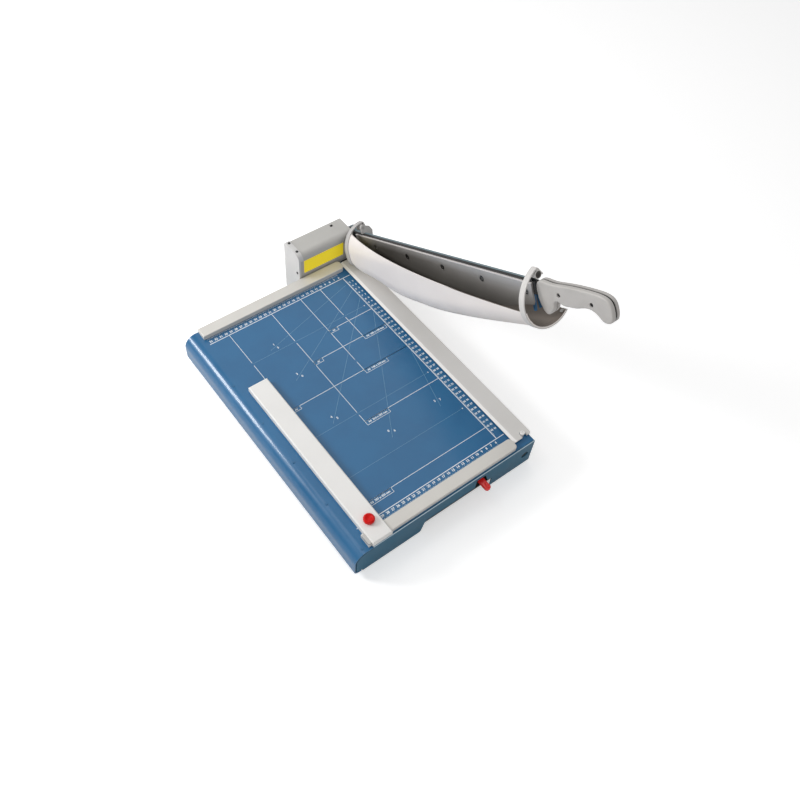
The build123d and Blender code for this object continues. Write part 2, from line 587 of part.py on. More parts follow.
def gauge_bar():
    """Hollow bar that straddles the front rail and lies across the table."""
    bar = box((GAUGE_LEFT, GAUGE_RIGHT), (GAUGE_FRONT, -GAUGE_BACK), (TOP + GAUGE_LIFT, GAUGE_TOP))
    top_edges = bar.edges().group_by(Axis.Z)[-1]
    bar = chamfer(top_edges, 1.6)
    hollow = box(
        (GAUGE_LEFT + GAUGE_WALL, GAUGE_RIGHT - GAUGE_WALL),
        (GAUGE_FRONT + GAUGE_WALL, -GAUGE_BACK - GAUGE_WALL), (TOP, GAUGE_TOP - GAUGE_WALL))
    saddle = box(
        (GAUGE_LEFT - 1, GAUGE_RIGHT + 1),
        (GAUGE_FRONT + GAUGE_WALL, FRONT_RAIL_Y + FRONT_RAIL_WIDTH + EASE),
        (TOP, TOP + FRONT_RAIL_HEIGHT + EASE))
    front_gap = box((GAUGE_LEFT - 1, GAUGE_RIGHT + 1), (GAUGE_FRONT - 1, FRONT_RAIL_Y), (TOP, TOP + 3))
    through = (GAUGE_TOP - 2 * GAUGE_WALL, GAUGE_TOP + 1)
    stud_hole = upright(GAUGE_MIDDLE, KNOB_Y, through, KNOB_STUD_RADIUS + RUNNING_FIT)
    return bar - hollow - saddle - front_gap - stud_hole


def gauge_bracket():
    """Small guide tab at the gauge's left front corner, riding on the front rail."""
    tab = box(
        (GAUGE_LEFT - 6, GAUGE_LEFT), (FRONT_RAIL_Y, FRONT_RAIL_Y + FRONT_RAIL_WIDTH - 3),
        (TOP + FRONT_RAIL_HEIGHT + EASE, TOP + FRONT_RAIL_HEIGHT + EASE + 2))
    return fillet(tab.edges().filter_by(Axis.Z).group_by(Axis.X)[0], 2)


def gauge_knob():
    """Round knob with a ribbed rim, moulded on its clamping stud."""
    z = GAUGE_TOP + EASE
    half = Polyline(
        (0, 0), (KNOB_RADIUS - 1, 0), (KNOB_RADIUS, 1), (KNOB_RADIUS, KNOB_HEIGHT - 2),
        (KNOB_RADIUS - 2, KNOB_HEIGHT), (0, KNOB_HEIGHT), close=True)
    knob = revolve(Plane.XZ * make_face(half), axis=Axis.Z)
    knob -= Pos(0, 0, KNOB_HEIGHT + 12) * Sphere(13.5)
    groove = Pos(KNOB_RADIUS + 0.45, 0, KNOB_HEIGHT / 2) * Cylinder(0.9, KNOB_HEIGHT + 1)
    for i in range(12):
        knob -= Rot(Z=30 * i) * groove
    stud = Pos(0, 0, -4.4) * Cylinder(KNOB_STUD_RADIUS, 9)
    return Pos(GAUGE_MIDDLE, KNOB_Y, z) * (knob + stud)


# ---------------------------------------------------------------- pressing lever


def lever_arm():
    """Cranked plate on edge: it runs under the front rib and rises into the skirt's notch."""
    tongue = TOP - LEVER_DROP
    under_rib = RIB_BOTTOM - 1.5
    low = under_rib - LEVER_BAR_DEPTH
    rib_front = RIB_YS[0] - RIB_WIDTH / 2
    tip = -TABLE_FRONT - LEVER_REACH + 5
    bar = outline(
        (-LEVER_PIVOT_Y, low), (-rib_front + 6, low), (-rib_front + 9, tongue - 2.2), (-tip, tongue - 2.2),
        (-tip, tongue + 2.2), (-rib_front + 3, tongue + 2.2), (-rib_front + 1.5, under_rib),
        (-LEVER_PIVOT_Y, under_rib))
    hub = Pos(-LEVER_PIVOT_Y, LEVER_PIVOT_Z) * Circle(LEVER_PIN_RADIUS + 4)
    bore = Pos(-LEVER_PIVOT_Y, LEVER_PIVOT_Z) * Circle(LEVER_PIN_RADIUS + RUNNING_FIT)
    return side_plate(bar + hub - bore, -LEVER_X - LEVER_BAR / 2, -LEVER_X + LEVER_BAR / 2)


def lever_cap():
    """Moulded tongue pushed over the lever's end, round in front."""
    back = -TABLE_FRONT + SHEET + 1
    front = -TABLE_FRONT - LEVER_REACH
    middle = Pos(-LEVER_X, (back + front) / 2, TOP - LEVER_DROP)
    tongue = middle * Box(LEVER_WIDTH, back - front, LEVER_THICKNESS)
    tongue = fillet(tongue.edges().filter_by(Axis.Z).group_by(Axis.Y)[0], LEVER_WIDTH / 2 - 0.5)
    rims = tongue.faces().filter_by(Axis.Z).edges().filter_by(lambda e: e.center().Y < back - 0.5)
    return fillet(rims, LEVER_THICKNESS / 4) - lever_arm()


def lever_bracket():
    """Cheek that hangs from the table behind the front rib, with the lever's riveted pin."""
    cheek_left = -LEVER_X + LEVER_BAR / 2 + EASE
    cheek_right = cheek_left + 3
    reach = LEVER_PIN_RADIUS + 4
    depth = (LEVER_PIVOT_Y - reach, LEVER_PIVOT_Y + reach)
    cheek = box((cheek_left, cheek_right), depth, (LEVER_PIVOT_Z, UNDER))
    cheek += crossways((cheek_left, cheek_right), LEVER_PIVOT_Y, LEVER_PIVOT_Z, reach)
    flange = box((cheek_left, cheek_right + 14), depth, (UNDER - 3, UNDER))
    head_right = -LEVER_X - LEVER_BAR / 2 - EASE
    pin = crossways((head_right - 2, cheek_left), LEVER_PIVOT_Y, LEVER_PIVOT_Z, LEVER_PIN_RADIUS)
    head = crossways((head_right - 2.5, head_right), LEVER_PIVOT_Y, LEVER_PIVOT_Z, LEVER_PIN_RADIUS + 2.5)
    return cheek + flange + pin + head


# ---------------------------------------------------------------- pivot


def bracket_screw_places():
    return [((BED_LEFT + BRACKET_LEFT) / 2, y) for y in (PIVOT_Y - 7, PIVOT_Y + 12)]


def pivot_bracket():
    """Upright plate on the bed's tail with the boss that the arm turns against."""
    foot = TOP - BED_TAIL_DROP
    low_y = TABLE_BACK + 4 * SEAM + SHEET
    ear = box((BRACKET_LEFT, BRACKET_RIGHT), (low_y, BED_TAIL), (foot, PIVOT_Z))
    ear += crossways((BRACKET_LEFT, BRACKET_RIGHT), PIVOT_Y, PIVOT_Z, BRACKET_RADIUS)
    behind = (PIVOT_Y + BRACKET_RADIUS, BED_TAIL + 1)
    ear -= box((BRACKET_LEFT - 1, BRACKET_RIGHT + 1), behind, (foot + 14, PIVOT_Z + 1))
    flange = box((BED_LEFT, BRACKET_RIGHT), (low_y, BED_TAIL), (foot, foot + BRACKET_FLANGE))
    boss_face = -THRUST_GAP - WASHER_THICKNESS
    boss = crossways((BRACKET_RIGHT - 1, boss_face), PIVOT_Y, PIVOT_Z, BOSS_RADIUS)
    body = ear + flange + boss
    body -= crossways((BRACKET_LEFT - 1, 0), PIVOT_Y, PIVOT_Z, PIVOT_RADIUS)
    for x, y in bracket_screw_places():
        body -= upright(x, y, (foot - 1, foot + BRACKET_FLANGE + 1), M5_RADIUS + 0.1)
    return body


def bracket_screws():
    foot = TOP - BED_TAIL_DROP
    seat = foot + BRACKET_FLANGE
    screws = []
    for x, y in bracket_screw_places():
        shank = upright(x, y, (foot - BRACKET_SCREW_GRIP, seat), M5_RADIUS)
        head = upright(x, y, (seat, seat + 5), 4.2)
        socket = Pos(x, y, seat + 2.5) * extrude(RegularPolygon(2.3, 6), amount=4)
        screws.append(shank + head - socket)
    return screws


def pivot_bolt():
    """Shoulder bolt through the hub, bracket and nut; the domed head is outside."""
    left = BRACKET_LEFT - BOLT_TAIL
    right = HUB_RIGHT + THRUST_GAP + 2 * WASHER_THICKNESS
    shank = crossways((left, right), PIVOT_Y, PIVOT_Z, PIVOT_RADIUS)
    head = crossways((right, right + 7), PIVOT_Y, PIVOT_Z, BOLT_HEAD_RADIUS)
    head = fillet(head.edges().group_by(Axis.X)[-1], 3)
    key = Plane(origin=(right + 4, PIVOT_Y, PIVOT_Z), z_dir=(1, 0, 0)) * RegularPolygon(4.6, 6)
    return shank + head - extrude(key, amount=5)


def thrust_washers():
    """Plain washer on the boss and spring washer under the bolt's head."""
    inner = crossways((-THRUST_GAP - WASHER_THICKNESS, -THRUST_GAP), PIVOT_Y, PIVOT_Z, BRACKET_RADIUS)
    start = HUB_RIGHT + THRUST_GAP
    outer = crossways((start, start + 2 * WASHER_THICKNESS), PIVOT_Y, PIVOT_Z, BOLT_HEAD_RADIUS + 2)
    bore = crossways((-20, 60), PIVOT_Y, PIVOT_Z, PIVOT_RADIUS)
    return [inner - bore, outer - bore]


def pivot_nut():
    place = Plane(origin=(BRACKET_LEFT, PIVOT_Y, PIVOT_Z), z_dir=(-1, 0, 0))
    return extrude(place * (RegularPolygon(NUT_RADIUS, 6) - Circle(PIVOT_RADIUS)), amount=NUT_THICKNESS)


# ---------------------------------------------------------------- line-light box


def box_profile(grow):
    """Side view of the light box as (-y, z): big bend in front, small bend behind."""
    low = BOX_BOTTOM
    shape = outline(
        (-BOX_FRONT + grow, low), (-BOX_FRONT + grow, BOX_TOP + grow), (-BOX_BACK - grow, BOX_TOP + grow),
        (-BOX_BACK - grow, low))
    tops = shape.vertices().filter_by(lambda v: v.Y > BOX_TOP - 20)
    shape = fillet(tops.sort_by(Axis.X)[-1:], BOX_FRONT_BEND + grow)
    back = shape.vertices().filter_by(lambda v: v.Y > BOX_TOP - 20).sort_by(Axis.X)[:1]
    return fillet(back, BOX_BACK_BEND + grow)


def light_cover():
    """Bent cover with a closed right end, which the pivot boss passes through."""
    shell = side_plate(box_profile(0), -BOX_LEFT, -BOX_RIGHT)
    shell -= side_plate(box_profile(-BOX_SHEET), -BOX_LEFT - 1, -BOX_RIGHT - BOX_SHEET)
    shell -= box((-BOX_LEFT - 1, 0), (BOX_FRONT - 1, BOX_BACK + 1), (BOX_BOTTOM - 1, BOX_BOTTOM + 2))
    behind_table = (BOX_BOTTOM - 1, TOP - BED_TAIL_DROP + SEAM)
    shell -= box((-BOX_LEFT - 1, 0), (BOX_FRONT - 1, BOX_BACK - 10), behind_table)
    shell -= box((BED_LEFT - SEAM, 0), (BOX_FRONT - 1, BED_TAIL + SEAM), (BOX_BOTTOM - 1, TOP - 1))
    shell -= crossways((-10, 0), PIVOT_Y, PIVOT_Z, BOSS_RADIUS + 2 * EASE)
    shell -= Pos(-28, 60, BOX_TOP) * Box(6, 5, 6)
    aperture = Plane(origin=(-LIGHT_X, BOX_FRONT - 1, BOX_TOP - LIGHT_DROP), z_dir=(0, 1, 0)) * Circle(3.5)
    shell -= extrude(aperture, amount=4)
    for y in cap_screw_ys():
        shell -= upright(-BOX_LEFT + CAP_OVERLAP / 2, y, (BOX_TOP - 6, BOX_TOP + 1), 1.5)
    return shell


def cap_screw_ys():
    return (BOX_FRONT + 13, BOX_BACK - 7)


def light_end_cap():
    """Left end plate of the light box, folded over the cover's top and front."""
    cap = side_plate(box_profile(CAP_THICKNESS), -BOX_LEFT - CAP_THICKNESS, -BOX_LEFT + CAP_OVERLAP)
    cap -= side_plate(box_profile(0), -BOX_LEFT, -BOX_LEFT + CAP_OVERLAP + 1)
    cap -= box((-BOX_LEFT, 0), (0, BOX_BACK + 9), (BOX_BOTTOM - 1, TOP - BED_TAIL_DROP))
    cap -= box((-BOX_LEFT + CAP_FRONT_OVERLAP, 0), (0, BOX_FRONT + 1), (0, BOX_TOP - BOX_FRONT_BEND))
    for y in cap_screw_ys():
        cap -= upright(-BOX_LEFT + CAP_OVERLAP / 2, y, (BOX_TOP - 1, BOX_TOP + 4), 1.5)
    return cap - cap_side_screw_place() * upright(0, 0, (-CAP_THICKNESS - 1, 1), 1.5)


def pan_screw(length):
    """Small pan-headed screw along Z, head above z = 0, with a straight slot."""
    screw = upright(0, 0, (-length, 0), 1.5)
    head = upright(0, 0, (0, 0.9), 2.6)
    return screw + fillet(head.edges().group_by(Axis.Z)[-1], 0.5) - Pos(0, 0, 0.9) * Box(4.4, 0.7, 0.9)


def cap_side_screw_place():
    return Pos(-BOX_LEFT - CAP_THICKNESS, BOX_FRONT + 5, TOP + CAP_SIDE_SCREW_RISE) * Rot(Y=-90)


def cap_screws():
    """Two screws in the cap's folded top and one in its end plate."""
    x = -BOX_LEFT + CAP_OVERLAP / 2
    screws = [Pos(x, y, BOX_TOP + CAP_THICKNESS) * pan_screw(5 + CAP_THICKNESS) for y in cap_screw_ys()]
    return screws + [cap_side_screw_place() * pan_screw(CAP_THICKNESS + 4)]


def light_base():
    """Folded tray that closes the box below and holds it to the rear skirt."""
    back = BOX_BACK - BOX_SHEET - 0.2
    low = BOX_BOTTOM + 2
    wide = (-BOX_LEFT + 0.2, BED_LEFT - 2)
    floor = box(wide, (TABLE_BACK, back), (low, low + BOX_SHEET))
    tab = box(wide, (TABLE_BACK, TABLE_BACK + BOX_SHEET), (low, TOP - BED_TAIL_DROP - 2))
    hem = box(wide, (back - BOX_SHEET, back), (low, low + TRAY_HEM))
    return floor + tab + hem


def battery_case():
    low = BOX_BOTTOM + 2 + BOX_SHEET
    ends = (-BOX_LEFT + BATTERY_GAP + 2, BED_LEFT - BATTERY_GAP)
    case = box(ends, (BOX_FRONT + 10, BOX_BACK - 10), (low, low + BATTERY_HEIGHT))
    return fillet(case.edges().filter_by(Axis.Z), 3)


def light_module():
    """Line-light barrel on a saddle that stands on the pivot bracket's crown."""
    place = Plane(origin=(-LIGHT_X, BOX_FRONT + 4, BOX_TOP - LIGHT_DROP), z_dir=(0, 1, 0))
    barrel = extrude(place * Circle(LIGHT_RADIUS), amount=30)
    barrel -= extrude(place * Circle(2.5), amount=3)
    low = PIVOT_Z + BRACKET_RADIUS
    wide = (-LIGHT_X - 5, -LIGHT_X + 5)
    saddle = box(wide, (PIVOT_Y - 3, PIVOT_Y + 3), (low - 0.3, BOX_TOP - LIGHT_DROP))
    return barrel + saddle - crossways((-40, 0), PIVOT_Y, PIVOT_Z, BRACKET_RADIUS)


# ---------------------------------------------------------------- knife arm (arm frame, lying level)


def arm_screw_us():
    return [BLADE_FIRST_SCREW + BLADE_SCREW_PITCH * i for i in range(ARM_SCREW_COUNT)]


def handle_outline(recess=0.0):
    """Side view of the handle: finger lobe, notch, straight grip and drooping heel."""
    start = HANDLE_START
    end = HANDLE_START + HANDLE_LENGTH
    top = HANDLE_TOP
    lobe = HANDLE_START + LOBE_LENGTH
    heel = end - HEEL_LENGTH
    grip = -GRIP_DROP
    curve = Spline(
        (start, 5), (start + 0.3, top - 11), (start + 3.5, top - 5), (start + 10, top - 2.4),
        (start + 19, top - 2.6), (start + 29, top - 3.4), (start + 50, top - 2), (heel - 22, top), (heel + 4, top - 0.4),
        (end - 12, top - 2.6), (end - 3.5, top - 8), (end, top - 18), (end - 0.1, 4 - HEEL_DROP / 2),
        (end - 3.4, 3 - HEEL_DROP), (end - 10, -HEEL_DROP), (heel + 13, 0.8 - HEEL_DROP), (heel + 4.5, -6.2),
        (heel - 4, -1), (heel - 16, 0.2), (heel - 34, grip + 1.6), (lobe + 28, grip), (lobe + 17, grip - 0.1),
        (lobe + 11, grip + 2), (lobe + 5.5, grip + 3), (lobe + 1, grip + 0.5), (lobe - 1.2, grip - 6),
        (lobe - 3.8, 9 - LOBE_DROP), (lobe - 9, 3.4 - LOBE_DROP), (lobe - 16, -LOBE_DROP),
        (start + 10.5, 2.6 - LOBE_DROP), (start + 6.5, 8 - LOBE_DROP), (start + 2.6, 17 - LOBE_DROP),
        (start + 0.6, -2.4), periodic=True)
    if recess:
        curve = drawn_in(curve, recess, 48)
    return make_face(curve)


def drawn_in(curve, distance, count):
    """Closed clockwise curve moved inwards by a distance."""
    points = []
    for i in range(count):
        at = curve @ (i / count)
        along = curve % (i / count)
        points.append((at.X + along.Y * distance, at.Y - along.X * distance))
    return Spline(*points, periodic=True)


def handle_screw_places():
    first = HANDLE_START + LOBE_LENGTH + FRONT_SCREW_SETBACK
    second = HANDLE_START + HANDLE_LENGTH - HEEL_LENGTH - HEEL_SCREW_SETBACK
    return ((first, 9.1), (second, 8.8))


def blade_arm():
    """Flat steel arm: hub, straight bar and the thin tang between the handle shells."""
    bar_end = HANDLE_START - 4
    low = ARM_TOP - ARM_WEB_DEPTH
    web = outline(
        (10, ARM_TOP), (bar_end, ARM_TOP), (bar_end, low + 10), (BLADE_FIRST_SCREW, low),
        (12, -HUB_RADIUS * 0.8))
    body = side_plate(web, ARM_LEFT, WEB_RIGHT)
    body += crossways((0, HUB_RIGHT), 0, 0, HUB_RADIUS)
    body += side_plate(handle_outline(TANG_RECESS), TANG_LEFT, TANG_RIGHT)
    root = outline(
        (HANDLE_START - 20, low + 10), (HANDLE_START - 20, ARM_TOP - 2), (HANDLE_START + 6, ARM_TOP - 4),
        (HANDLE_START + 6, low + 10))
    body += side_plate(root, TANG_LEFT, TANG_RIGHT)
    body -= crossways((-1, HUB_RIGHT + 1), 0, 0, PIVOT_RADIUS + RUNNING_FIT + BUSH_WALL)
    for u in arm_screw_us():
        body -= crossways((ARM_LEFT - 1, WEB_RIGHT + 1), -u, 0, M5_RADIUS + 0.1)
    for u, v in handle_screw_places():
        body -= crossways((TANG_LEFT - 1, TANG_RIGHT + 1), -u, v, HANDLE_SCREW_RADIUS + 0.1)
    return body


def pivot_bush():
    bush = crossways((0, HUB_RIGHT), 0, 0, PIVOT_RADIUS + RUNNING_FIT + BUSH_WALL)
    return bush - crossways((-1, HUB_RIGHT + 1), 0, 0, PIVOT_RADIUS + RUNNING_FIT)


def upper_blade():
    """Long knife, ground on its outer side, with a bellied edge that turns up at the nose."""
    rear = HUB_RADIUS + 4
    belly = -BLADE_BELLY_DROP
    edge = Spline(
        (rear, -BLADE_HEEL_DROP), (lerp(rear, BLADE_NOSE, 0.22), lerp(-BLADE_HEEL_DROP, belly, 0.55)),
        (lerp(rear, BLADE_NOSE, 0.58), belly),
        (lerp(rear, BLADE_NOSE, 0.79), lerp(belly, -BLADE_NOSE_DROP, 0.12)),
        (lerp(rear, BLADE_NOSE, 0.925), lerp(belly, -BLADE_NOSE_DROP, 0.65)), (BLADE_NOSE, -BLADE_NOSE_DROP),
        tangents=((1, -0.12), (1, 0.25)))
    sections = []
    for i in range(BLADE_STATIONS):
        at = edge @ (i / (BLADE_STATIONS - 1))
        sections.append(arm_plane(at.X) * outline(
            (0, BLADE_TOP), (BLADE_THICKNESS, BLADE_TOP), (BLADE_THICKNESS, at.Y + BLADE_BEVEL),
            (0.4, at.Y), (0, at.Y)))
    blade = loft(sections)
    for u in arm_screw_us():
        blade -= Pos(0, -u, 0) * Rot(Z=180) * countersink(BLADE_THICKNESS)
    return blade


def blade_screws():
    screw = Rot(Z=180) * countersunk(BLADE_THICKNESS + ARM_WEB - 1)
    return [Pos(0.2, -u, 0) * screw for u in arm_screw_us()]


def handle_half(left, right, outer):
    half = side_plate(handle_outline(), left, right)
    rim = half.faces().sort_by(Axis.X)[-1 if outer > 0 else 0].edges()
    return fillet(rim, HANDLE_ROUND)


def handle_left():
    half = handle_half(HANDLE_LEFT, TANG_LEFT, -1)
    for u, v in handle_screw_places():
        half -= crossways((HANDLE_LEFT - 1, HANDLE_LEFT + 4), -u, v, HANDLE_HOLE_RADIUS)
        half -= crossways((HANDLE_LEFT - 1, TANG_LEFT + 1), -u, v, HANDLE_SCREW_RADIUS + 0.1)
    return half


def handle_right():
    half = handle_half(TANG_RIGHT, HANDLE_RIGHT, 1)
    for u, v in handle_screw_places():
        half -= crossways((TANG_RIGHT - 1, TANG_RIGHT + 6), -u, v, HANDLE_SCREW_RADIUS)
    return half


def handle_screws():
    screws = []
    for u, v in handle_screw_places():
        head = crossways((HANDLE_LEFT + 1.6, HANDLE_LEFT + 4), -u, v, HANDLE_HOLE_RADIUS - 0.3)
        shank = crossways((HANDLE_LEFT + 4, TANG_RIGHT + 6), -u, v, HANDLE_SCREW_RADIUS)
        cross = Pos(HANDLE_LEFT + 1.6, -u, v) * (Box(1.6, 3.6, 0.8) + Box(1.6, 0.8, 3.6))
        screws.append(head + shank - cross)
    return screws


def guard_fork():
    """Forked steel bracket on the arm's outer side; its legs keep the guard's front end in line."""
    start = FORK_START
    end = FORK_START + FORK_LENGTH
    low = 9 - FORK_CROWN
    crown = outline((start, low), (start, 9), (end - 2, 9), (end - 2, low))
    root = low + 2
    rear_leg = outline((start, root), (start + 9.5, root), (start + 6, -FORK_DROP), (start + 2, -FORK_DROP))
    front_leg = outline(
        (start + 10.8, root), (start + 14.5, root), (end, 11 - FORK_DROP), (end - 7, 6.5 - FORK_DROP))
    return side_plate(crown + rear_leg + front_leg, WEB_RIGHT, WEB_RIGHT + FORK_THICKNESS)


# ---------------------------------------------------------------- trough guard (arm frame)


def trough_frame(t):
    """Left, right and bottom of the trough's outside and its two corner radii at 0..1 of its length."""
    left = -lerp(TROUGH_LEFT_REAR, TROUGH_LEFT_FRONT, t)
    right = lerp(TROUGH_RIGHT_REAR, TROUGH_RIGHT_FRONT, t)
    bottom = -lerp(TROUGH_DROP_REAR, TROUGH_DROP_FRONT, t) - GUARD_BELLY * sin(pi * t ** BELLY_SKEW)
    settle = min(1.0, t / SETTLE)
    widest = (right - left) / 2 - 0.5
    return left, right, bottom, lerp(REAR_LEFT_ROUND, widest, settle), lerp(REAR_RIGHT_ROUND, widest, settle)


def fold(t):
    """Crest above the arm where the guard's left side ends."""
    return lerp(FOLD_SIDE_REAR, FOLD_SIDE_FRONT, t), lerp(FOLD_RISE_REAR, FOLD_RISE_FRONT, t)


def guard_section(t, inset):
    """Closed cross-section of the trough at 0..1 of its length, pulled in by inset.

    The left side climbs in one arc to the fold above the arm; the right side stays low.
    """
    left, right, bottom, left_round, right_round = trough_frame(t)
    left, right, bottom = left + inset, right - inset, bottom + inset
    left_round, right_round = left_round - inset, right_round - inset
    fold_x, fold_v = fold(t)
    fold_v -= inset
    shoulder = lerp(-8.0, -12.0, t)
    reach = fold_x - left
    rise = fold_v - shoulder
    crown = (reach ** 2 + rise ** 2) / (2 * reach)
    middle = crown - sqrt(crown ** 2 - (rise / 2) ** 2)
    edges = [
        ThreePointArc((fold_x, fold_v), (left + middle, shoulder + rise / 2), (left, shoulder)),
        Line((left, shoulder), (left, bottom + left_round)),
        CenterArc((left + left_round, bottom + left_round), left_round, 180, 90),
        Line((left + left_round, bottom), (right - right_round, bottom)),
        CenterArc((right - right_round, bottom + right_round), right_round, 270, 90),
        Line((right, bottom + right_round), (right, FAR_WALL_TOP)),
        Line((right, FAR_WALL_TOP), (fold_x, fold_v)),
    ]
    return make_face(edges)


def guard_body(inset):
    """Solid trough form: level ends under the hangers and a bellied loft between them."""
    stations = [0.0, 0.05, 0.12, 0.22, 0.34, 0.46, 0.58, 0.7, 0.82, 0.92, 1.0]
    start = REAR_HANGER_END
    length = FRONT_HANGER_START - REAR_HANGER_END
    faces = [arm_plane(start + t * length) * guard_section(t, inset) for t in stations]
    body = loft(faces)
    over = 1.0 if inset > 0 else 0.0
    rear = extrude(arm_plane(GUARD_START - over) * guard_section(0, inset), amount=HANGER_WIDTH + over)
    front = extrude(arm_plane(FRONT_HANGER_START) * guard_section(1, inset), amount=HANGER_WIDTH + over)
    return body + rear + front


def near_rim(u):
    part = (u - GUARD_START) / (GUARD_END - GUARD_START)
    return -RIM_FRONT_DROP + RIM_RISE * (1 - part) ** RIM_CURVE


def far_rim(t):
    return -lerp(FAR_RIM_REAR_DROP, FAR_RIM_FRONT_DROP, t)


def guard_shell():
    """Sheet trough, open above, with a climbing near rim and a low far rim."""
    shell = guard_body(0) - guard_body(GUARD_SHEET)
    us = [lerp(GUARD_START - 2, GUARD_END + 2, i / 6) for i in range(7)]
    rim = Spline(*[(u, near_rim(min(max(u, GUARD_START), GUARD_END))) for u in us])
    above = make_face([
        rim, Line(rim @ 1, (us[-1], 80)), Line((us[-1], 80), (us[0], 80)), Line((us[0], 80), rim @ 0)])
    shell -= side_plate(above, -100, FOLD_SIDE_FRONT)
    low = outline((us[0], far_rim(0)), (us[-1], far_rim(1)), (us[-1], 80), (us[0], 80))
    shell -= side_plate(low, FOLD_SIDE_FRONT - SEAM, 100)
    return shell


def hanger(t, start):
    """Flat strap round the trough's end, folded over the arm and ending in a hinge knuckle."""
    strap = guard_section(t, -HANGER_THICKNESS) - guard_section(t, 0)
    fold_x, fold_v = fold(t)
    wide = 2 * TROUGH_RIGHT_FRONT
    strap -= Pos(fold_x + wide, far_rim(t) + wide) * Rectangle(2 * wide, 2 * wide)
    flange = outline(
        (fold_x - 0.2, fold_v + HANGER_THICKNESS), (fold_x - 0.2, fold_v - 0.4),
        (GUARD_AXIS_X + 7, GUARD_AXIS_V - 2), (GUARD_AXIS_X + 8, GUARD_AXIS_V - 3.4),
        (GUARD_AXIS_X + 9.3, GUARD_AXIS_V - 2), (fold_x + 2.5, fold_v + 0.8))
    knuckle = Pos(GUARD_AXIS_X, GUARD_AXIS_V) * Circle(KNUCKLE_RADIUS)
    web = Pos(GUARD_AXIS_X, (GUARD_AXIS_V + fold_v) / 2 + 0.6) * Rectangle(4, fold_v - GUARD_AXIS_V)
    shape = strap + flange + knuckle + web
    shape -= Pos(GUARD_AXIS_X, GUARD_AXIS_V) * Circle(GUARD_PIN_RADIUS + RUNNING_FIT)
    return extrude(arm_plane(start) * shape, amount=HANGER_WIDTH)


def ear(start, wide):
    """Lug on the arm's flange that holds one end of the guard's hinge pin."""
    foot = outline(
        (ARM_LEFT, ARM_TOP), (WEB_RIGHT, ARM_TOP), (GUARD_AXIS_X + 5, GUARD_AXIS_V),
        (GUARD_AXIS_X - 5, GUARD_AXIS_V))
    shape = foot + Pos(GUARD_AXIS_X, GUARD_AXIS_V) * Circle(5.2)
    if wide:
        shape += outline(
            (WEB_RIGHT, ARM_TOP + 1), (WEB_RIGHT, -2), (WEB_RIGHT + 12, 4), (WEB_RIGHT + 15, ARM_TOP),
            (WEB_RIGHT + 10, GUARD_AXIS_V - 1), (GUARD_AXIS_X + 2, GUARD_AXIS_V + 4),
            (GUARD_AXIS_X + 2, GUARD_AXIS_V - 3))
    shape -= Pos(GUARD_AXIS_X, GUARD_AXIS_V) * Circle(GUARD_PIN_RADIUS)
    return extrude(arm_plane(start) * shape, amount=EAR_THICKNESS)


def guard_pins():
    """Hinge pins pressed into the lugs; the hangers' knuckles turn on them."""
    def pin(low, high):
        place = arm_plane(low)
        return extrude(place * Pos(GUARD_AXIS_X, GUARD_AXIS_V) * Circle(GUARD_PIN_RADIUS), amount=high - low)
    rear = pin(GUARD_START, REAR_HANGER_END + EASE + EAR_THICKNESS)
    front = pin(FRONT_HANGER_START - EASE - EAR_THICKNESS, GUARD_END)
    return [rear, front]


def guard_screw_places(t):
    """Angle from straight down and the arc it sits on, for the near and the far screw."""
    left, right, bottom, left_round, right_round = trough_frame(t)
    return (
        ((left + left_round, bottom + left_round), left_round, 215),
        ((right - right_round, bottom + right_round), right_round, 305))


def guard_screws():
    """Button-headed screws through trough and strap, heads inside."""
    screws = []
    for t, u in ((0, GUARD_START + HANGER_WIDTH / 2), (1, GUARD_END - HANGER_WIDTH / 2)):
        for centre, radius, angle in guard_screw_places(t):
            out = (cos(radians(angle)), sin(radians(angle)))
            at = radius - GUARD_SHEET
            place = Plane(
                origin=(centre[0] + out[0] * at, -u, centre[1] + out[1] * at), z_dir=(out[0], 0, out[1]))
            shank = extrude(place * Circle(1.5), amount=GUARD_SHEET + HANGER_THICKNESS)
            head = extrude(place * Circle(3), amount=-1.4)
            screws.append(shank + head)
    return screws


# ---------------------------------------------------------------- assembly
RAISE = Pos(0, PIVOT_Y, PIVOT_Z) * Rot(X=-REST_ANGLE)


def raised(shape):
    """Put a piece, or a list of them, from the arm's own frame on the raised arm."""
    if isinstance(shape, list):
        return [RAISE * one for one in shape]
    return RAISE * shape


def with_screw_holes(piece, screws):
    for screw in screws:
        piece -= screw
    return piece


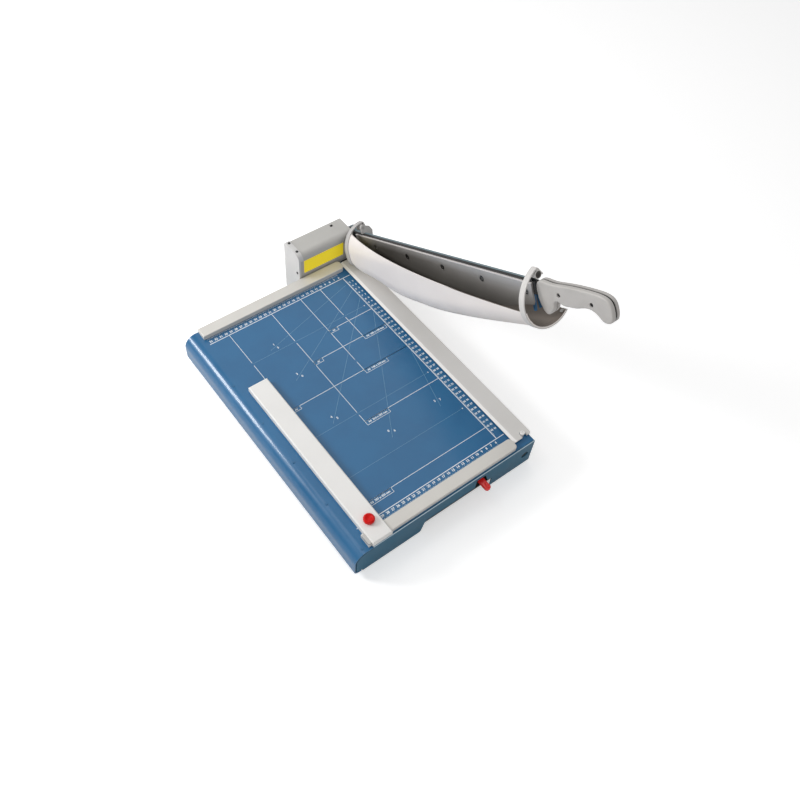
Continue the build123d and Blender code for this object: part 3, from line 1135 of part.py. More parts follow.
def build():
    screws = guard_screws()
    shell = with_screw_holes(guard_shell(), screws)
    front = with_screw_holes(hanger(1, FRONT_HANGER_START), screws)
    rear = with_screw_holes(hanger(0, GUARD_START), screws)
    nodes = {
        "table_sheet": table_sheet(),
        "front_skirt": front_skirt(),
        "rear_skirt": rear_skirt(),
        "blade_bed": blade_bed(),
        "cross_ribs": cross_ribs(),
        "rubber_feet": rubber_feet(),
        "lower_blade": lower_blade(),
        "lower_blade_screws": lower_blade_screws(),
        "back_rail": back_rail(),
        "front_rail": front_rail(),
        "side_rivets": side_rivets(),
        "clamp_plate": clamp_plate(),
        "clamp_springs": clamp_springs(),
        "guide_post": guide_post(),
        "gauge_bar": gauge_bar(),
        "gauge_bracket": gauge_bracket(),
        "gauge_knob": gauge_knob(),
        "lever_arm": lever_arm(),
        "lever_cap": lever_cap(),
        "lever_bracket": lever_bracket(),
        "pivot_bracket": pivot_bracket(),
        "bracket_screws": bracket_screws(),
        "pivot_bolt": pivot_bolt(),
        "thrust_washers": thrust_washers(),
        "pivot_nut": pivot_nut(),
        "light_cover": light_cover(),
        "light_end_cap": light_end_cap(),
        "cap_screws": cap_screws(),
        "light_base": light_base(),
        "battery_case": battery_case(),
        "light_module": light_module(),
        "blade_arm": raised(blade_arm()),
        "pivot_bush": raised(pivot_bush()),
        "upper_blade": raised(upper_blade()),
        "blade_screws": raised(blade_screws()),
        "handle_left": raised(handle_left()),
        "handle_right": raised(handle_right()),
        "handle_screws": raised(handle_screws()),
        "guard_fork": raised(guard_fork()),
        "rear_ear": raised(ear(REAR_HANGER_END + EASE, True)),
        "front_ear": raised(ear(FRONT_HANGER_START - EASE - EAR_THICKNESS, False)),
        "guard_pins": raised(guard_pins()),
        "guard_shell": raised(shell),
        "front_hanger": raised(front),
        "rear_hanger": raised(rear),
        "guard_screws": raised(screws),
    }
    return nodes


def as_compound(shape):
    solids = []
    for one in shape if isinstance(shape, list) else [shape]:
        solids += one.solids()
    return Compound(solids)


def footprint_shift(parts):
    """Shift that brings the middle of the whole footprint to the origin."""
    points = []
    for part in parts.values():
        points += part.tessellate(0.05, 0.2)[0]
    xs = [p.X for p in points]
    ys = [p.Y for p in points]
    return (-(min(xs) + max(xs)) / 2, -(min(ys) + max(ys)) / 2, -min(p.Z for p in points))


PARTS = {name: as_compound(shape) for name, shape in build().items()}
SHIFT = footprint_shift(PARTS)

for name, part in PARTS.items():
    export_step(Pos(*SHIFT) * part, f"parts/{name}.step")
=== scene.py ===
# %% [markdown]
# # Dressing a lever guillotine
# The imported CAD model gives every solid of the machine: the bent table, the knife arm, the swinging
# guard. This script leaves those shapes alone and gives them what a CAD solid can't show: enamel with a
# faint orange peel, ground steel, moulded plastic, and the scales printed on the table. Each step has a
# short note like this one and a small block of code under it.

# %% Load the solids
import json
import math
import bmesh
import bpy
from mathutils import Matrix, Vector


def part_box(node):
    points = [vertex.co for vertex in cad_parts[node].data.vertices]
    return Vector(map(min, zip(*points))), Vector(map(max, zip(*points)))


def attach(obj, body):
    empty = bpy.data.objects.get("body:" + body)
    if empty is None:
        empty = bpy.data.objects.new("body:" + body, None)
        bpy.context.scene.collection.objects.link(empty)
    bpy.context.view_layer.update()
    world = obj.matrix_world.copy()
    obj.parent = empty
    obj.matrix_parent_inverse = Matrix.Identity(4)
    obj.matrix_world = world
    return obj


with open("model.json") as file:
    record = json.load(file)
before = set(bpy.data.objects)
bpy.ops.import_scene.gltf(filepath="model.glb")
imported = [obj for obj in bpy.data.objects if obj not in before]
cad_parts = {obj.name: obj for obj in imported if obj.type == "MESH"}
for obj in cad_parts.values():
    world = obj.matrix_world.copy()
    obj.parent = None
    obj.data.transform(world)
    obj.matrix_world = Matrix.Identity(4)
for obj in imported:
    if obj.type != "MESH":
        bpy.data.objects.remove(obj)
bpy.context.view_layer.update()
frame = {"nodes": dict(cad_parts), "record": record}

# %% [markdown]
# ## One set of bench coordinates
# A maker lays a guillotine out from two edges: the cutting edge and the back stop. The same is done
# here. `bench` turns millimetres counted from those edges and from the table's top into the metres of
# the frame, so that every printed line keeps its real paper size.

# %% Bench coordinates
SHEAR_GAP = 0.00015
cut_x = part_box("lower_blade")[1][0] + SHEAR_GAP
stop_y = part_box("back_rail")[0][1]
table_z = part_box("table_sheet")[1][2]


def bench(x, y, z=0.0):
    """Metres in the frame for millimetres from the cut, the back stop and the table's top."""
    return Vector((cut_x + x / 1000, stop_y + y / 1000, table_z + z / 1000))


print("cutting edge at x =", round(cut_x, 4), "table top at z =", round(table_z, 4))

# %% [markdown]
# ## Shared effects as node groups
# Enamel, steel and plastic all need some of the same things: a fine grain, a slow mottle, worn edges,
# grinding lines. Each effect is a shader node group, built once with named inputs and outputs, and each
# material places it with its own numbers. A group only puts out masks and heights. The shader itself
# stays in the material, where it is easy to find. These helpers keep the building of a tree short.

# %% Helpers for node trees


def new_group(name, inputs, outputs):
    """An empty shader group with float inputs given as {name: default} and float outputs."""
    group = bpy.data.node_groups.new(name, "ShaderNodeTree")
    for label, value in inputs.items():
        socket = group.interface.new_socket(label, in_out="INPUT", socket_type="NodeSocketFloat")
        socket.default_value = value
    for label in outputs:
        group.interface.new_socket(label, in_out="OUTPUT", socket_type="NodeSocketFloat")
    return group, group.nodes.new("NodeGroupInput"), group.nodes.new("NodeGroupOutput")


def node(tree, kind, **settings):
    """A node with its plain settings, and its sockets set where the name ends in _in."""
    made = tree.nodes.new(kind)
    for key, value in settings.items():
        if key.endswith("_in"):
            made.inputs[key[:-3]].default_value = value
        else:
            setattr(made, key, value)
    return made


def wire(tree, source, output, target, socket):
    tree.links.new(source.outputs[output], target.inputs[socket])


print("helpers:", new_group.__name__, node.__name__, wire.__name__)

# %% [markdown]
# Four steps come back in almost every tree: a value spread between two limits to make a mask, vector
# arithmetic with a fixed vector, arithmetic on two linked values, and a group placed with its numbers.

# %% Steps that come back


def spread(tree, source, output, low, high, **settings):
    """Turns a value into a mask: 0 at low, 1 at high, and never beyond."""
    made = node(tree, "ShaderNodeMapRange", **settings)
    made.inputs["From Min"].default_value = low
    made.inputs["From Max"].default_value = high
    wire(tree, source, output, made, "Value")
    return made


def vector_step(tree, operation, first, output, fixed):
    """One step of vector arithmetic with a fixed second vector."""
    made = node(tree, "ShaderNodeVectorMath", operation=operation)
    made.inputs[1].default_value = fixed
    wire(tree, first, output, made, 0)
    return made


def pair(tree, kind, operation, first, first_output, second, second_output):
    """One step of arithmetic on two linked values."""
    made = node(tree, kind, operation=operation)
    wire(tree, first, first_output, made, 0)
    wire(tree, second, second_output, made, 1)
    return made


def place_group(tree, group, **numbers):
    """Puts a group into a tree with its own numbers."""
    placed = node(tree, "ShaderNodeGroup", node_tree=group)
    for label, value in numbers.items():
        placed.inputs[label.replace("_", " ")].default_value = value
    return placed


print("helpers:", spread.__name__, vector_step.__name__, pair.__name__, place_group.__name__)

# %% [markdown]
# The grain group is the skin of a painted or moulded surface. A fine noise gives the height of orange
# peel or moulded texture, a slow noise gives the patches that a hand or a rag leaves.

# %% Grain and mottle


def build_grain():
    group, given, out = new_group("surface_grain", {"Fine": 900.0, "Slow": 14.0}, ["Height", "Mottle"])
    spot = node(group, "ShaderNodeTexCoord")
    fine = node(group, "ShaderNodeTexNoise", Detail_in=2.0, Roughness_in=0.6)
    slow = node(group, "ShaderNodeTexNoise", Detail_in=3.0, Roughness_in=0.55)
    wire(group, spot, "Object", fine, "Vector")
    wire(group, spot, "Object", slow, "Vector")
    wire(group, given, "Fine", fine, "Scale")
    wire(group, given, "Slow", slow, "Scale")
    wire(group, fine, "Fac", out, "Height")
    soften = spread(group, slow, "Fac", 0.3, 0.7, interpolation_type="SMOOTHSTEP")
    wire(group, soften, "Result", out, "Mottle")
    return group


GRAIN = build_grain()
print("group:", GRAIN.name)

# %% [markdown]
# Paint is thinnest and gets rubbed most on an edge. A Bevel node rounds the normal near edges, and the
# difference between that normal and the true one marks them. Noise breaks the mark up, so that the wear
# comes in patches.
# The same mask also paints a highlight on the rims of the blade's screws and shade along the knife arm's
# edges.

# %% Worn edges, also painted highlight and shade
FLAT, ROUNDED = 0.995, 0.85


def build_edge_wear():
    group, given, out = new_group("edge_wear_and_light", {"Radius": 0.0012, "Patches": 60.0}, ["Mask"])
    spot = node(group, "ShaderNodeTexCoord")
    rounded = node(group, "ShaderNodeBevel", samples=4)
    true_face = node(group, "ShaderNodeNewGeometry")
    patches = node(group, "ShaderNodeTexNoise", Detail_in=4.0)
    wire(group, given, "Radius", rounded, "Radius")
    wire(group, given, "Patches", patches, "Scale")
    wire(group, spot, "Object", patches, "Vector")
    compare = pair(group, "ShaderNodeVectorMath", "DOT_PRODUCT", rounded, "Normal", true_face, "Normal")
    edge = spread(group, compare, "Value", FLAT, ROUNDED)
    wear_and_light = spread(group, patches, "Fac", 0.42, 0.62, interpolation_type="SMOOTHSTEP")
    both = pair(group, "ShaderNodeMath", "MULTIPLY", edge, "Result", wear_and_light, "Result")
    wire(group, both, "Value", out, "Mask")
    return group


EDGE_WEAR_AND_LIGHT = build_edge_wear()
print("group:", EDGE_WEAR_AND_LIGHT.name)

# %% [markdown]
# Ground or brushed metal carries fine lines in one direction. Noise whose space is stretched along that
# direction looks like them: the three inputs are how fast the noise runs along each axis.

# %% Grinding lines


def build_grinding():
    inputs = {"Along X": 40.0, "Along Y": 40.0, "Along Z": 2500.0}
    group, given, out = new_group("grinding_lines", inputs, ["Height", "Streaks"])
    spot = node(group, "ShaderNodeTexCoord")
    pull = node(group, "ShaderNodeCombineXYZ")
    lines = node(group, "ShaderNodeTexNoise", Scale_in=1.0, Detail_in=3.0, Roughness_in=0.7)
    slow = node(group, "ShaderNodeTexNoise", Scale_in=0.04, Detail_in=2.0)
    for axis in "XYZ":
        wire(group, given, "Along " + axis, pull, axis)
    stretch = pair(group, "ShaderNodeVectorMath", "MULTIPLY", spot, "Object", pull, "Vector")
    wire(group, stretch, "Vector", lines, "Vector")
    wire(group, stretch, "Vector", slow, "Vector")
    wire(group, lines, "Fac", out, "Height")
    wire(group, slow, "Fac", out, "Streaks")
    return group


GRINDING = build_grinding()
print("group:", GRINDING.name)

# %% [markdown]
# Some finishes change along the knife arm: a painted light makes the knife brighter towards its nose, and
# a painted shade makes the trough guard darker inside. This group tells where on the arm a point is, in
# metres from the pivot. The cross products with the arm's direction take the length away, so their dot
# product is only clearly below zero where a face looks towards the trough's middle line.

# %% Place on the knife arm
ARM_ANGLE = math.radians(29.0)
PIVOT = (0, 38.8, 26.1)
TROUGH_MIDDLE = (0.012, -0.010)
HINGE_AXIS = (0.008, 0.028)
LOOKS_IN, LOOKS_OUT = -0.006, -0.002
arm_pivot = bench(*PIVOT)
arm_way = Vector((0.0, -math.cos(ARM_ANGLE), math.sin(ARM_ANGLE)))
arm_up = Vector((0.0, math.sin(ARM_ANGLE), math.cos(ARM_ANGLE)))


def beside_pivot(across, up):
    """A point that is the given metres across and above the pivot, seen along the arm."""
    return arm_pivot + Vector((across, 0, 0)) + arm_up * up


def build_arm_place():
    outputs = ["Along", "Across", "Height", "From Hinge", "Outside"]
    group, _, out = new_group("place_on_arm", {}, outputs)
    spot = node(group, "ShaderNodeTexCoord")
    from_pivot = vector_step(group, "SUBTRACT", spot, "Object", arm_pivot)
    for label, way in (("Along", arm_way), ("Across", (1, 0, 0)), ("Height", arm_up)):
        measured = vector_step(group, "DOT_PRODUCT", from_pivot, "Vector", way)
        wire(group, measured, "Value", out, label)
    from_hinge = vector_step(group, "SUBTRACT", spot, "Object", beside_pivot(*HINGE_AXIS))
    across_hinge = vector_step(group, "CROSS_PRODUCT", from_hinge, "Vector", arm_way)
    reach = node(group, "ShaderNodeVectorMath", operation="LENGTH")
    wire(group, across_hinge, "Vector", reach, 0)
    wire(group, reach, "Value", out, "From Hinge")
    from_middle = vector_step(group, "SUBTRACT", spot, "Object", beside_pivot(*TROUGH_MIDDLE))
    across = vector_step(group, "CROSS_PRODUCT", from_middle, "Vector", arm_way)
    facing = vector_step(group, "CROSS_PRODUCT", spot, "Normal", arm_way)
    away = pair(group, "ShaderNodeVectorMath", "DOT_PRODUCT", across, "Vector", facing, "Vector")
    wire(group, spread(group, away, "Value", LOOKS_IN, LOOKS_OUT), "Result", out, "Outside")
    return group


ARM_PLACE = build_arm_place()
print("group:", ARM_PLACE.name)

# %% [markdown]
# A bent or bevelled border gets a painted highlight, a pale colour along its whole length. The mask is high
# where a face looks the same way as the border does.

# %% Painted highlights on borders


def build_border(name, way, low, high):
    group, _, out = new_group(name, {}, ["Mask"])
    spot = node(group, "ShaderNodeTexCoord")
    facing = vector_step(group, "DOT_PRODUCT", spot, "Normal", Vector(way).normalized())
    wire(group, spread(group, facing, "Value", low, high), "Result", out, "Mask")
    return group


SKIRT_BEND_HIGHLIGHT = build_border("skirt_bend_highlight", (0, -1, 1), 0.80, 0.93)
BAR_BEVEL_HIGHLIGHT = build_border("bar_bevel_highlight", (-0.27, 0, 0.96), 0.975, 0.99)
print("groups:", SKIRT_BEND_HIGHLIGHT.name, BAR_BEVEL_HIGHLIGHT.name)

# %% [markdown]
# ## A finish for each part
# A finish is one material: a Principled shader with masks wired into its colour, roughness and normal.
# Numbers that are the same all over a surface, such as the metal or the coat, are set straight on the
# shader.

# %% Colour, roughness and bump


def blend_colour(tree, first, second, mask, output, amount=1.0):
    """A colour mix from first to second where the mask is high. Colours are given or linked."""
    mix = node(tree, "ShaderNodeMix", data_type="RGBA")
    for socket, colour in ((6, first), (7, second)):
        if hasattr(colour, "is_output"):
            tree.links.new(colour, mix.inputs[socket])
        else:
            mix.inputs[socket].default_value = (*colour, 1.0)
    scale = node(tree, "ShaderNodeMath", operation="MULTIPLY")
    scale.inputs[1].default_value = amount
    wire(tree, mask, output, scale, 0)
    wire(tree, scale, "Value", mix, 0)
    return mix.outputs[2]


def vary_roughness(tree, shader, mask, output, low, high):
    varied = spread(tree, mask, output, 0.0, 1.0)
    varied.inputs["To Min"].default_value = low
    varied.inputs["To Max"].default_value = high
    wire(tree, varied, "Result", shader, "Roughness")


def raise_bump(tree, shader, mask, output, strength, distance):
    bump = node(tree, "ShaderNodeBump", Strength_in=strength, Distance_in=distance)
    wire(tree, mask, output, bump, "Height")
    wire(tree, bump, "Normal", shader, "Normal")


def blank_finish(name, **shader_values):
    """A new material with numbers set on its shader."""
    made = bpy.data.materials.new(name)
    made.use_nodes = True
    shader = made.node_tree.nodes["Principled BSDF"]
    for label, value in shader_values.items():
        shader.inputs[label.replace("_", " ")].default_value = value
    return made, made.node_tree, shader


print("helpers:", blend_colour.__name__, vary_roughness.__name__, raise_bump.__name__, blank_finish.__name__)

# %% [markdown]
# All painted and moulded parts share one recipe with different numbers: a base colour, a second colour
# for the slow mottle, a fine grain in the bump, and a worn colour along edges.

# %% Recipe for paint and plastic
WEAR_RADIUS = 0.0012
WEAR_PATCHES = 70.0


def coated(name, base, patch, roughness, fine=900.0, slow=14.0, bump=0.15, depth=0.00005,
           wear_and_light=None, wear=0.6, **shader_values):
    """Enamel, powder coat or moulded plastic, told apart by their numbers."""
    made, tree, shader = blank_finish(name, **shader_values)
    grain = place_group(tree, GRAIN, Fine=fine, Slow=slow)
    colour = blend_colour(tree, base, patch, grain, "Mottle")
    if wear_and_light:
        edges = place_group(tree, EDGE_WEAR_AND_LIGHT, Radius=WEAR_RADIUS, Patches=WEAR_PATCHES)
        colour = blend_colour(tree, colour, wear_and_light, edges, "Mask", wear)
    tree.links.new(colour, shader.inputs["Base Color"])
    vary_roughness(tree, shader, grain, "Mottle", *roughness)
    raise_bump(tree, shader, grain, "Height", bump, depth)
    return made


print("recipe:", coated.__name__)

# %% [markdown]
# Steel parts use the grinding lines instead of the grain. The streaks pull the colour and the roughness
# about, because a ground face is never evenly bright.

# %% Recipe for ground steel
STEEL_WEAR_RADIUS = 0.0008
STEEL_WEAR_PATCHES = 120.0
GRIND_BUMP = 0.2
GRIND_DEPTH = 0.00002
LENGTHWISE = (40.0, 40.0, 2500.0)


def ground(name, base, streak, roughness, along=LENGTHWISE, metallic=1.0, wear_and_light=None, wear=0.5):
    """Ground, turned or plated metal, told apart by the way its lines run."""
    made, tree, shader = blank_finish(name, Metallic=metallic)
    lines = place_group(tree, GRINDING, Along_X=along[0], Along_Y=along[1], Along_Z=along[2])
    colour = blend_colour(tree, base, streak, lines, "Streaks")
    if wear_and_light:
        edges = place_group(tree, EDGE_WEAR_AND_LIGHT, Radius=STEEL_WEAR_RADIUS, Patches=STEEL_WEAR_PATCHES)
        colour = blend_colour(tree, colour, wear_and_light, edges, "Mask", wear)
    tree.links.new(colour, shader.inputs["Base Color"])
    vary_roughness(tree, shader, lines, "Height", *roughness)
    raise_bump(tree, shader, lines, "Height", GRIND_BUMP, GRIND_DEPTH)
    return made


print("recipe:", ground.__name__)

# %% [markdown]
# ## The finishes of this machine
# The blue is a satin enamel under a thin glossy coat, a little lighter where it is rubbed. The skirts are
# a duller blue. The greys are enamels and powder coats of different depths.

# %% Paints
FINISH = {
    "blue_enamel": coated("blue enamel", (0.008, 0.112, 0.262), (0.014, 0.130, 0.292), (0.28, 0.38),
                          fine=1500, bump=0.10, wear_and_light=(0.10, 0.24, 0.38),
                          Coat_Weight=0.3, Coat_Roughness=0.08),
    "skirt_enamel": coated("skirt enamel", (0.008, 0.104, 0.188), (0.014, 0.120, 0.208), (0.38, 0.50),
                           fine=1500, bump=0.12, wear_and_light=(0.20, 0.32, 0.40)),
    "rib_steel": coated("rib enamel", (0.04, 0.10, 0.16), (0.05, 0.12, 0.18), (0.45, 0.6), bump=0.2),
    "guard_enamel": coated("guard enamel", (0.86, 0.80, 0.765), (0.89, 0.835, 0.80), (0.30, 0.40),
                           fine=1300, bump=0.06, Coat_Weight=0.15, Coat_Roughness=0.15),
    # the straps take a darker copy of the guard's enamel: painted shade for straps that catch more of the
    # lights
    "hanger_enamel": coated("darkened hanger enamel", (0.62, 0.60, 0.58), (0.68, 0.66, 0.64), (0.34, 0.46),
                            fine=1300, bump=0.10, wear_and_light=(0.80, 0.78, 0.76)),
    # the arm's edges darken in patches: partly wear, partly painted shade along its narrow edges
    "arm_enamel": coated("arm enamel", (0.14, 0.20, 0.225), (0.17, 0.235, 0.26), (0.34, 0.46),
                         fine=1100, bump=0.2, wear_and_light=(0.05, 0.06, 0.07)),
    "blue_steel": coated("bracket enamel", (0.03, 0.12, 0.26), (0.04, 0.15, 0.31), (0.3, 0.4),
                         wear_and_light=(0.1, 0.2, 0.3)),
    "box_enamel": coated("box powder coat", (0.50, 0.49, 0.465), (0.54, 0.53, 0.505), (0.48, 0.60),
                         fine=2200, bump=0.3, wear_and_light=(0.62, 0.61, 0.60)),
    "panel_enamel": coated("end cap powder coat", (0.62, 0.612, 0.604), (0.67, 0.66, 0.65), (0.45, 0.58),
                           fine=2200, bump=0.25, wear_and_light=(0.8, 0.8, 0.79)),
    "pressed_bar": coated("pressing bar coat", (0.64, 0.625, 0.60), (0.69, 0.675, 0.655), (0.42, 0.55),
                          fine=1700, slow=9, bump=0.25, wear_and_light=(0.75, 0.74, 0.72)),
    "cast_bed": coated("casting paint", (0.018, 0.020, 0.022), (0.028, 0.030, 0.032), (0.5, 0.68),
                       fine=500, bump=0.6, depth=0.0002, wear_and_light=(0.09, 0.09, 0.09)),
}
print("paints:", len(FINISH))

# %% [markdown]
# Mouldings: the handle has a fine matt grain, the gauge is smoother and whiter, the red pieces are glossy.

# %% Mouldings and rubber
FINISH.update({
    "light_plastic": coated("gauge moulding", (0.80, 0.79, 0.77), (0.84, 0.83, 0.81), (0.35, 0.48),
                            fine=2000, slow=10, bump=0.12, wear_and_light=(0.88, 0.87, 0.85)),
    "handle_plastic": coated("handle moulding", (0.47, 0.45, 0.43), (0.52, 0.50, 0.48), (0.34, 0.48),
                             fine=2600, slow=30, bump=0.2, wear_and_light=(0.6, 0.59, 0.57)),
    "red_plastic": coated("red moulding", (0.60, 0.002, 0.001), (0.66, 0.004, 0.002), (0.25, 0.35),
                          fine=1800, bump=0.05, wear_and_light=(0.75, 0.06, 0.05), wear=0.3,
                          Specular_IOR_Level=0.25),
    # the lever's cap is a brighter, glossier copy of the red moulding: the brighter red is painted light for
    # a cap in shade below the table's front
    "lever_plastic": coated("brightened lever moulding", (0.80, 0.012, 0.010), (0.86, 0.018, 0.014), (0.18, 0.26),
                            fine=1800, bump=0.05, wear_and_light=(0.9, 0.2, 0.18),
                            Coat_Weight=0.7, Coat_Roughness=0.10),
    "black_plastic": coated("black moulding", (0.015, 0.015, 0.016), (0.025, 0.025, 0.026), (0.4, 0.55),
                            fine=2400, bump=0.2, wear_and_light=(0.1, 0.1, 0.1)),
    "black_rubber": coated("foot rubber", (0.018, 0.018, 0.018), (0.04, 0.038, 0.036), (0.7, 0.85),
                           fine=1600, bump=0.4, wear_and_light=(0.10, 0.10, 0.095)),
    "rail_metal": coated("rail anodising", (0.66, 0.64, 0.60), (0.71, 0.69, 0.65), (0.40, 0.52),
                         fine=2600, slow=12, bump=0.22, wear_and_light=(0.80, 0.79, 0.77), Metallic=0.15),
})
print("with mouldings:", len(FINISH))

# %% [markdown]
# Metals: the knives are ground across their length, pins and screws are turned and plated or blackened,
# the bush is bronze.

# %% Metals
TURNED = (900.0, 900.0, 900.0)
FINISH.update({
    "knife_steel": ground("knife steel", (0.085, 0.078, 0.068), (0.13, 0.12, 0.105), (0.30, 0.46),
                          along=(3000.0, 900.0, 60.0), metallic=0.45),
    "edge_steel": ground("lower knife steel", (0.24, 0.23, 0.215), (0.34, 0.33, 0.31), (0.26, 0.44),
                         along=(3000.0, 60.0, 900.0), wear_and_light=(0.7, 0.69, 0.67)),
    "pin_steel": ground("pin steel", (0.42, 0.41, 0.40), (0.54, 0.53, 0.51), (0.26, 0.40),
                        along=TURNED, wear_and_light=(0.7, 0.69, 0.67)),
    "bright_steel": ground("zinc plate", (0.50, 0.49, 0.47), (0.62, 0.61, 0.59), (0.22, 0.38),
                           along=TURNED, wear_and_light=(0.75, 0.74, 0.72)),
    "dark_screw": ground("blackened steel", (0.05, 0.05, 0.055), (0.09, 0.09, 0.09), (0.3, 0.45),
                         along=TURNED, wear_and_light=(0.3, 0.3, 0.3)),
    # the blade's screws are dark, with near-white rims from the worn-edge mask at full strength: a painted
    # highlight
    "rim_highlight_screw": ground("dark screw with painted rim highlight", (0.08, 0.078, 0.075), (0.20, 0.195, 0.19), (0.25, 0.4),
                          along=TURNED, wear_and_light=(0.95, 0.94, 0.92), wear=1.0),
    "spring_steel": ground("spring wire", (0.38, 0.38, 0.37), (0.5, 0.5, 0.49), (0.25, 0.4)),
    "bush_bronze": ground("bush bronze", (0.42, 0.26, 0.09), (0.52, 0.34, 0.14), (0.28, 0.45)),
})
print("with metals:", len(FINISH))

# %% [markdown]
# ## Changes within one finish
# A second colour goes over a finish where a mask is high. On the arm a mask is a span of one of the
# group's measures, from the value where there is none of the new colour to the value where it is full,
# and several spans hold together.

# %% Helpers for second colours


def overpaint(finish, colour, mask, output):
    """Adds a colour to a finish where a mask is high."""
    tree = finish.node_tree
    paint = tree.nodes["Principled BSDF"].inputs["Base Color"]
    tree.links.new(blend_colour(tree, paint.links[0].from_socket, colour, mask, output), paint)


def repaint(finish, colour, *spans):
    """Adds a colour where all spans (measure, none at, full at) hold."""
    tree = finish.node_tree
    place = place_group(tree, ARM_PLACE)
    masks = [spread(tree, place, *span) for span in spans]
    joined = masks[0]
    for mask in masks[1:]:
        joined = pair(tree, "ShaderNodeMath", "MULTIPLY", joined, 0, mask, 0)
    overpaint(finish, colour, joined, 0)


print("helpers:", overpaint.__name__, repaint.__name__)

# %% [markdown]
# The two borders get a nearly white painted highlight. The arm, the guard and its straps get painted shade
# in narrow places, since the lights alone leave them too pale; the knife gets a painted light towards its
# nose and back.

# %% Second colours, painted highlights and painted shade
# near-black painted shade
PAINTED_SHADE_BLACK = (0.012, 0.012, 0.012)
# painted highlights along the skirt's bent top edge and the pressing bar's bevelled border
BORDER_HIGHLIGHTS = (
    ("skirt_enamel", (0.55, 0.68, 0.78), SKIRT_BEND_HIGHLIGHT),
    ("pressed_bar", (0.88, 0.86, 0.84), BAR_BEVEL_HIGHLIGHT),
)
ON_THE_ARM = (
    # painted shade: the trough's inside, the strap at the pivot and the mouth of the strap at the nose
    ("guard_enamel", (0.16, 0.13, 0.105), ("Outside", 0.7, 0.3)),
    ("hanger_enamel", (0.44, 0.43, 0.42), ("Along", 0.06, 0.03)),
    ("hanger_enamel", (0.07, 0.065, 0.06), ("From Hinge", 0.0053, 0.0050), ("Along", 0.30, 0.40)),
    # painted shade on the arm where it faces the knife and behind the nose; inside the handle's lobe it is
    # lighter grey
    ("arm_enamel", PAINTED_SHADE_BLACK, ("Across", 0.0072, 0.0068)),
    ("arm_enamel", PAINTED_SHADE_BLACK, ("Along", 0.493, 0.500), ("Height", -0.006, -0.004)),
    ("arm_enamel", (0.45, 0.43, 0.41), ("Along", 0.515, 0.520), ("Height", -0.006, -0.008)),
    # painted light: the knife gets brighter to its nose and its back, with a painted highlight along the
    # back's edge
    ("knife_steel", (0.56, 0.54, 0.525), ("Along", 0.12, 0.58), ("Height", -0.048, 0.012)),
    ("knife_steel", (0.60, 0.58, 0.57), ("Height", 0.002, 0.030)),
    ("knife_steel", (0.95, 0.90, 0.88), ("Height", 0.0144, 0.0152)),
    # the guard's pins turn nearly black towards the nose
    ("pin_steel", (0.09, 0.085, 0.08), ("Along", 0.30, 0.40)),
)
for slot, colour, border in BORDER_HIGHLIGHTS:
    overpaint(FINISH[slot], colour, place_group(FINISH[slot].node_tree, border), "Mask")
for slot, colour, *spans in ON_THE_ARM:
    repaint(FINISH[slot], colour, *spans)
print("second colours:", len(BORDER_HIGHLIGHTS) + len(ON_THE_ARM))

# %% [markdown]
# ## Painting the solids
# The record says which slot each solid takes its finish from, so one loop paints the whole machine. A few
# solids have a finish of their own in place of their slot's.

# %% Paint every solid
OWN_FINISH = {
    "blade_screws": "rim_highlight_screw",
    "lower_blade": "edge_steel",
    "guard_pins": "pin_steel",
    "front_hanger": "hanger_enamel",
    "rear_hanger": "hanger_enamel",
    "rear_ear": "hanger_enamel",
    # the press lever's arm and bracket take the dark rib enamel as painted shade where they show through the
    # lever's notch
    "lever_arm": "rib_steel",
    "lever_bracket": "rib_steel",
    "lever_cap": "lever_plastic",
}
for part in frame["record"]["subparts"]:
    solid = frame["nodes"][part["node"]]
    solid.data.materials.clear()
    solid.data.materials.append(FINISH[OWN_FINISH.get(part["node"], part["material_slot"])])

# %% [markdown]
# ## Printing on the table
# The formats and scales are screen printed: a film of ink a few hundredths of a millimetre thick. It
# could be a texture, but then it would blur close up, so here every line is a thin slab of ink.

# %% Ink lines
INK = 0.06
INK_LIFT = 0.01


def stroke(ink, start, end, width):
    """A straight printed line between two bench points, as a thin slab."""
    first, last = Vector(start), Vector(end)
    side = (last - first).normalized().orthogonal() * (width / 2)
    ring = [first + side, first - side, last - side, last + side]
    low = [ink.verts.new(bench(p.x, p.y, INK_LIFT)) for p in ring]
    high = [ink.verts.new(bench(p.x, p.y, INK_LIFT + INK)) for p in ring]
    ink.faces.new(high)
    ink.faces.new(low[::-1])
    for i in range(4):
        j = (i + 1) % 4
        ink.faces.new((low[i], low[j], high[j], high[i]))


print("ink in mm:", INK)

# %% [markdown]
# Every figure is cut from a text outline, a little bolder than the font, because wet ink runs outwards.

# %% Ink figures
BOLD = 0.22
CAP_HEIGHT = 0.72


def figure(ink, words, x, y, height):
    """Printed figures, cut from the built-in font and laid flat on the table."""
    outline = bpy.data.curves.new("figure", "FONT")
    outline.body = words
    outline.size = height / 1000 / CAP_HEIGHT
    outline.extrude = INK / 2000
    outline.offset = BOLD / 1000
    outline.align_x = "CENTER"
    outline.align_y = "CENTER"
    outline.resolution_u = 2
    cut_out = bpy.data.objects.new("figure", outline)
    bpy.context.collection.objects.link(cut_out)
    bpy.context.view_layer.update()
    shape = bpy.data.meshes.new_from_object(cut_out)
    shape.transform(Matrix.Translation(bench(x, y, INK_LIFT + INK / 2)))
    ink.from_mesh(shape)
    bpy.data.objects.remove(cut_out)
    bpy.data.meshes.remove(shape)


print("bolder by mm:", BOLD)

# %% [markdown]
# What is printed in one colour becomes one mesh, and it rides on the table. There are two inks: a white
# one, and a pale blue one for the lines that only guide the eye.

# %% Inks and printed pieces


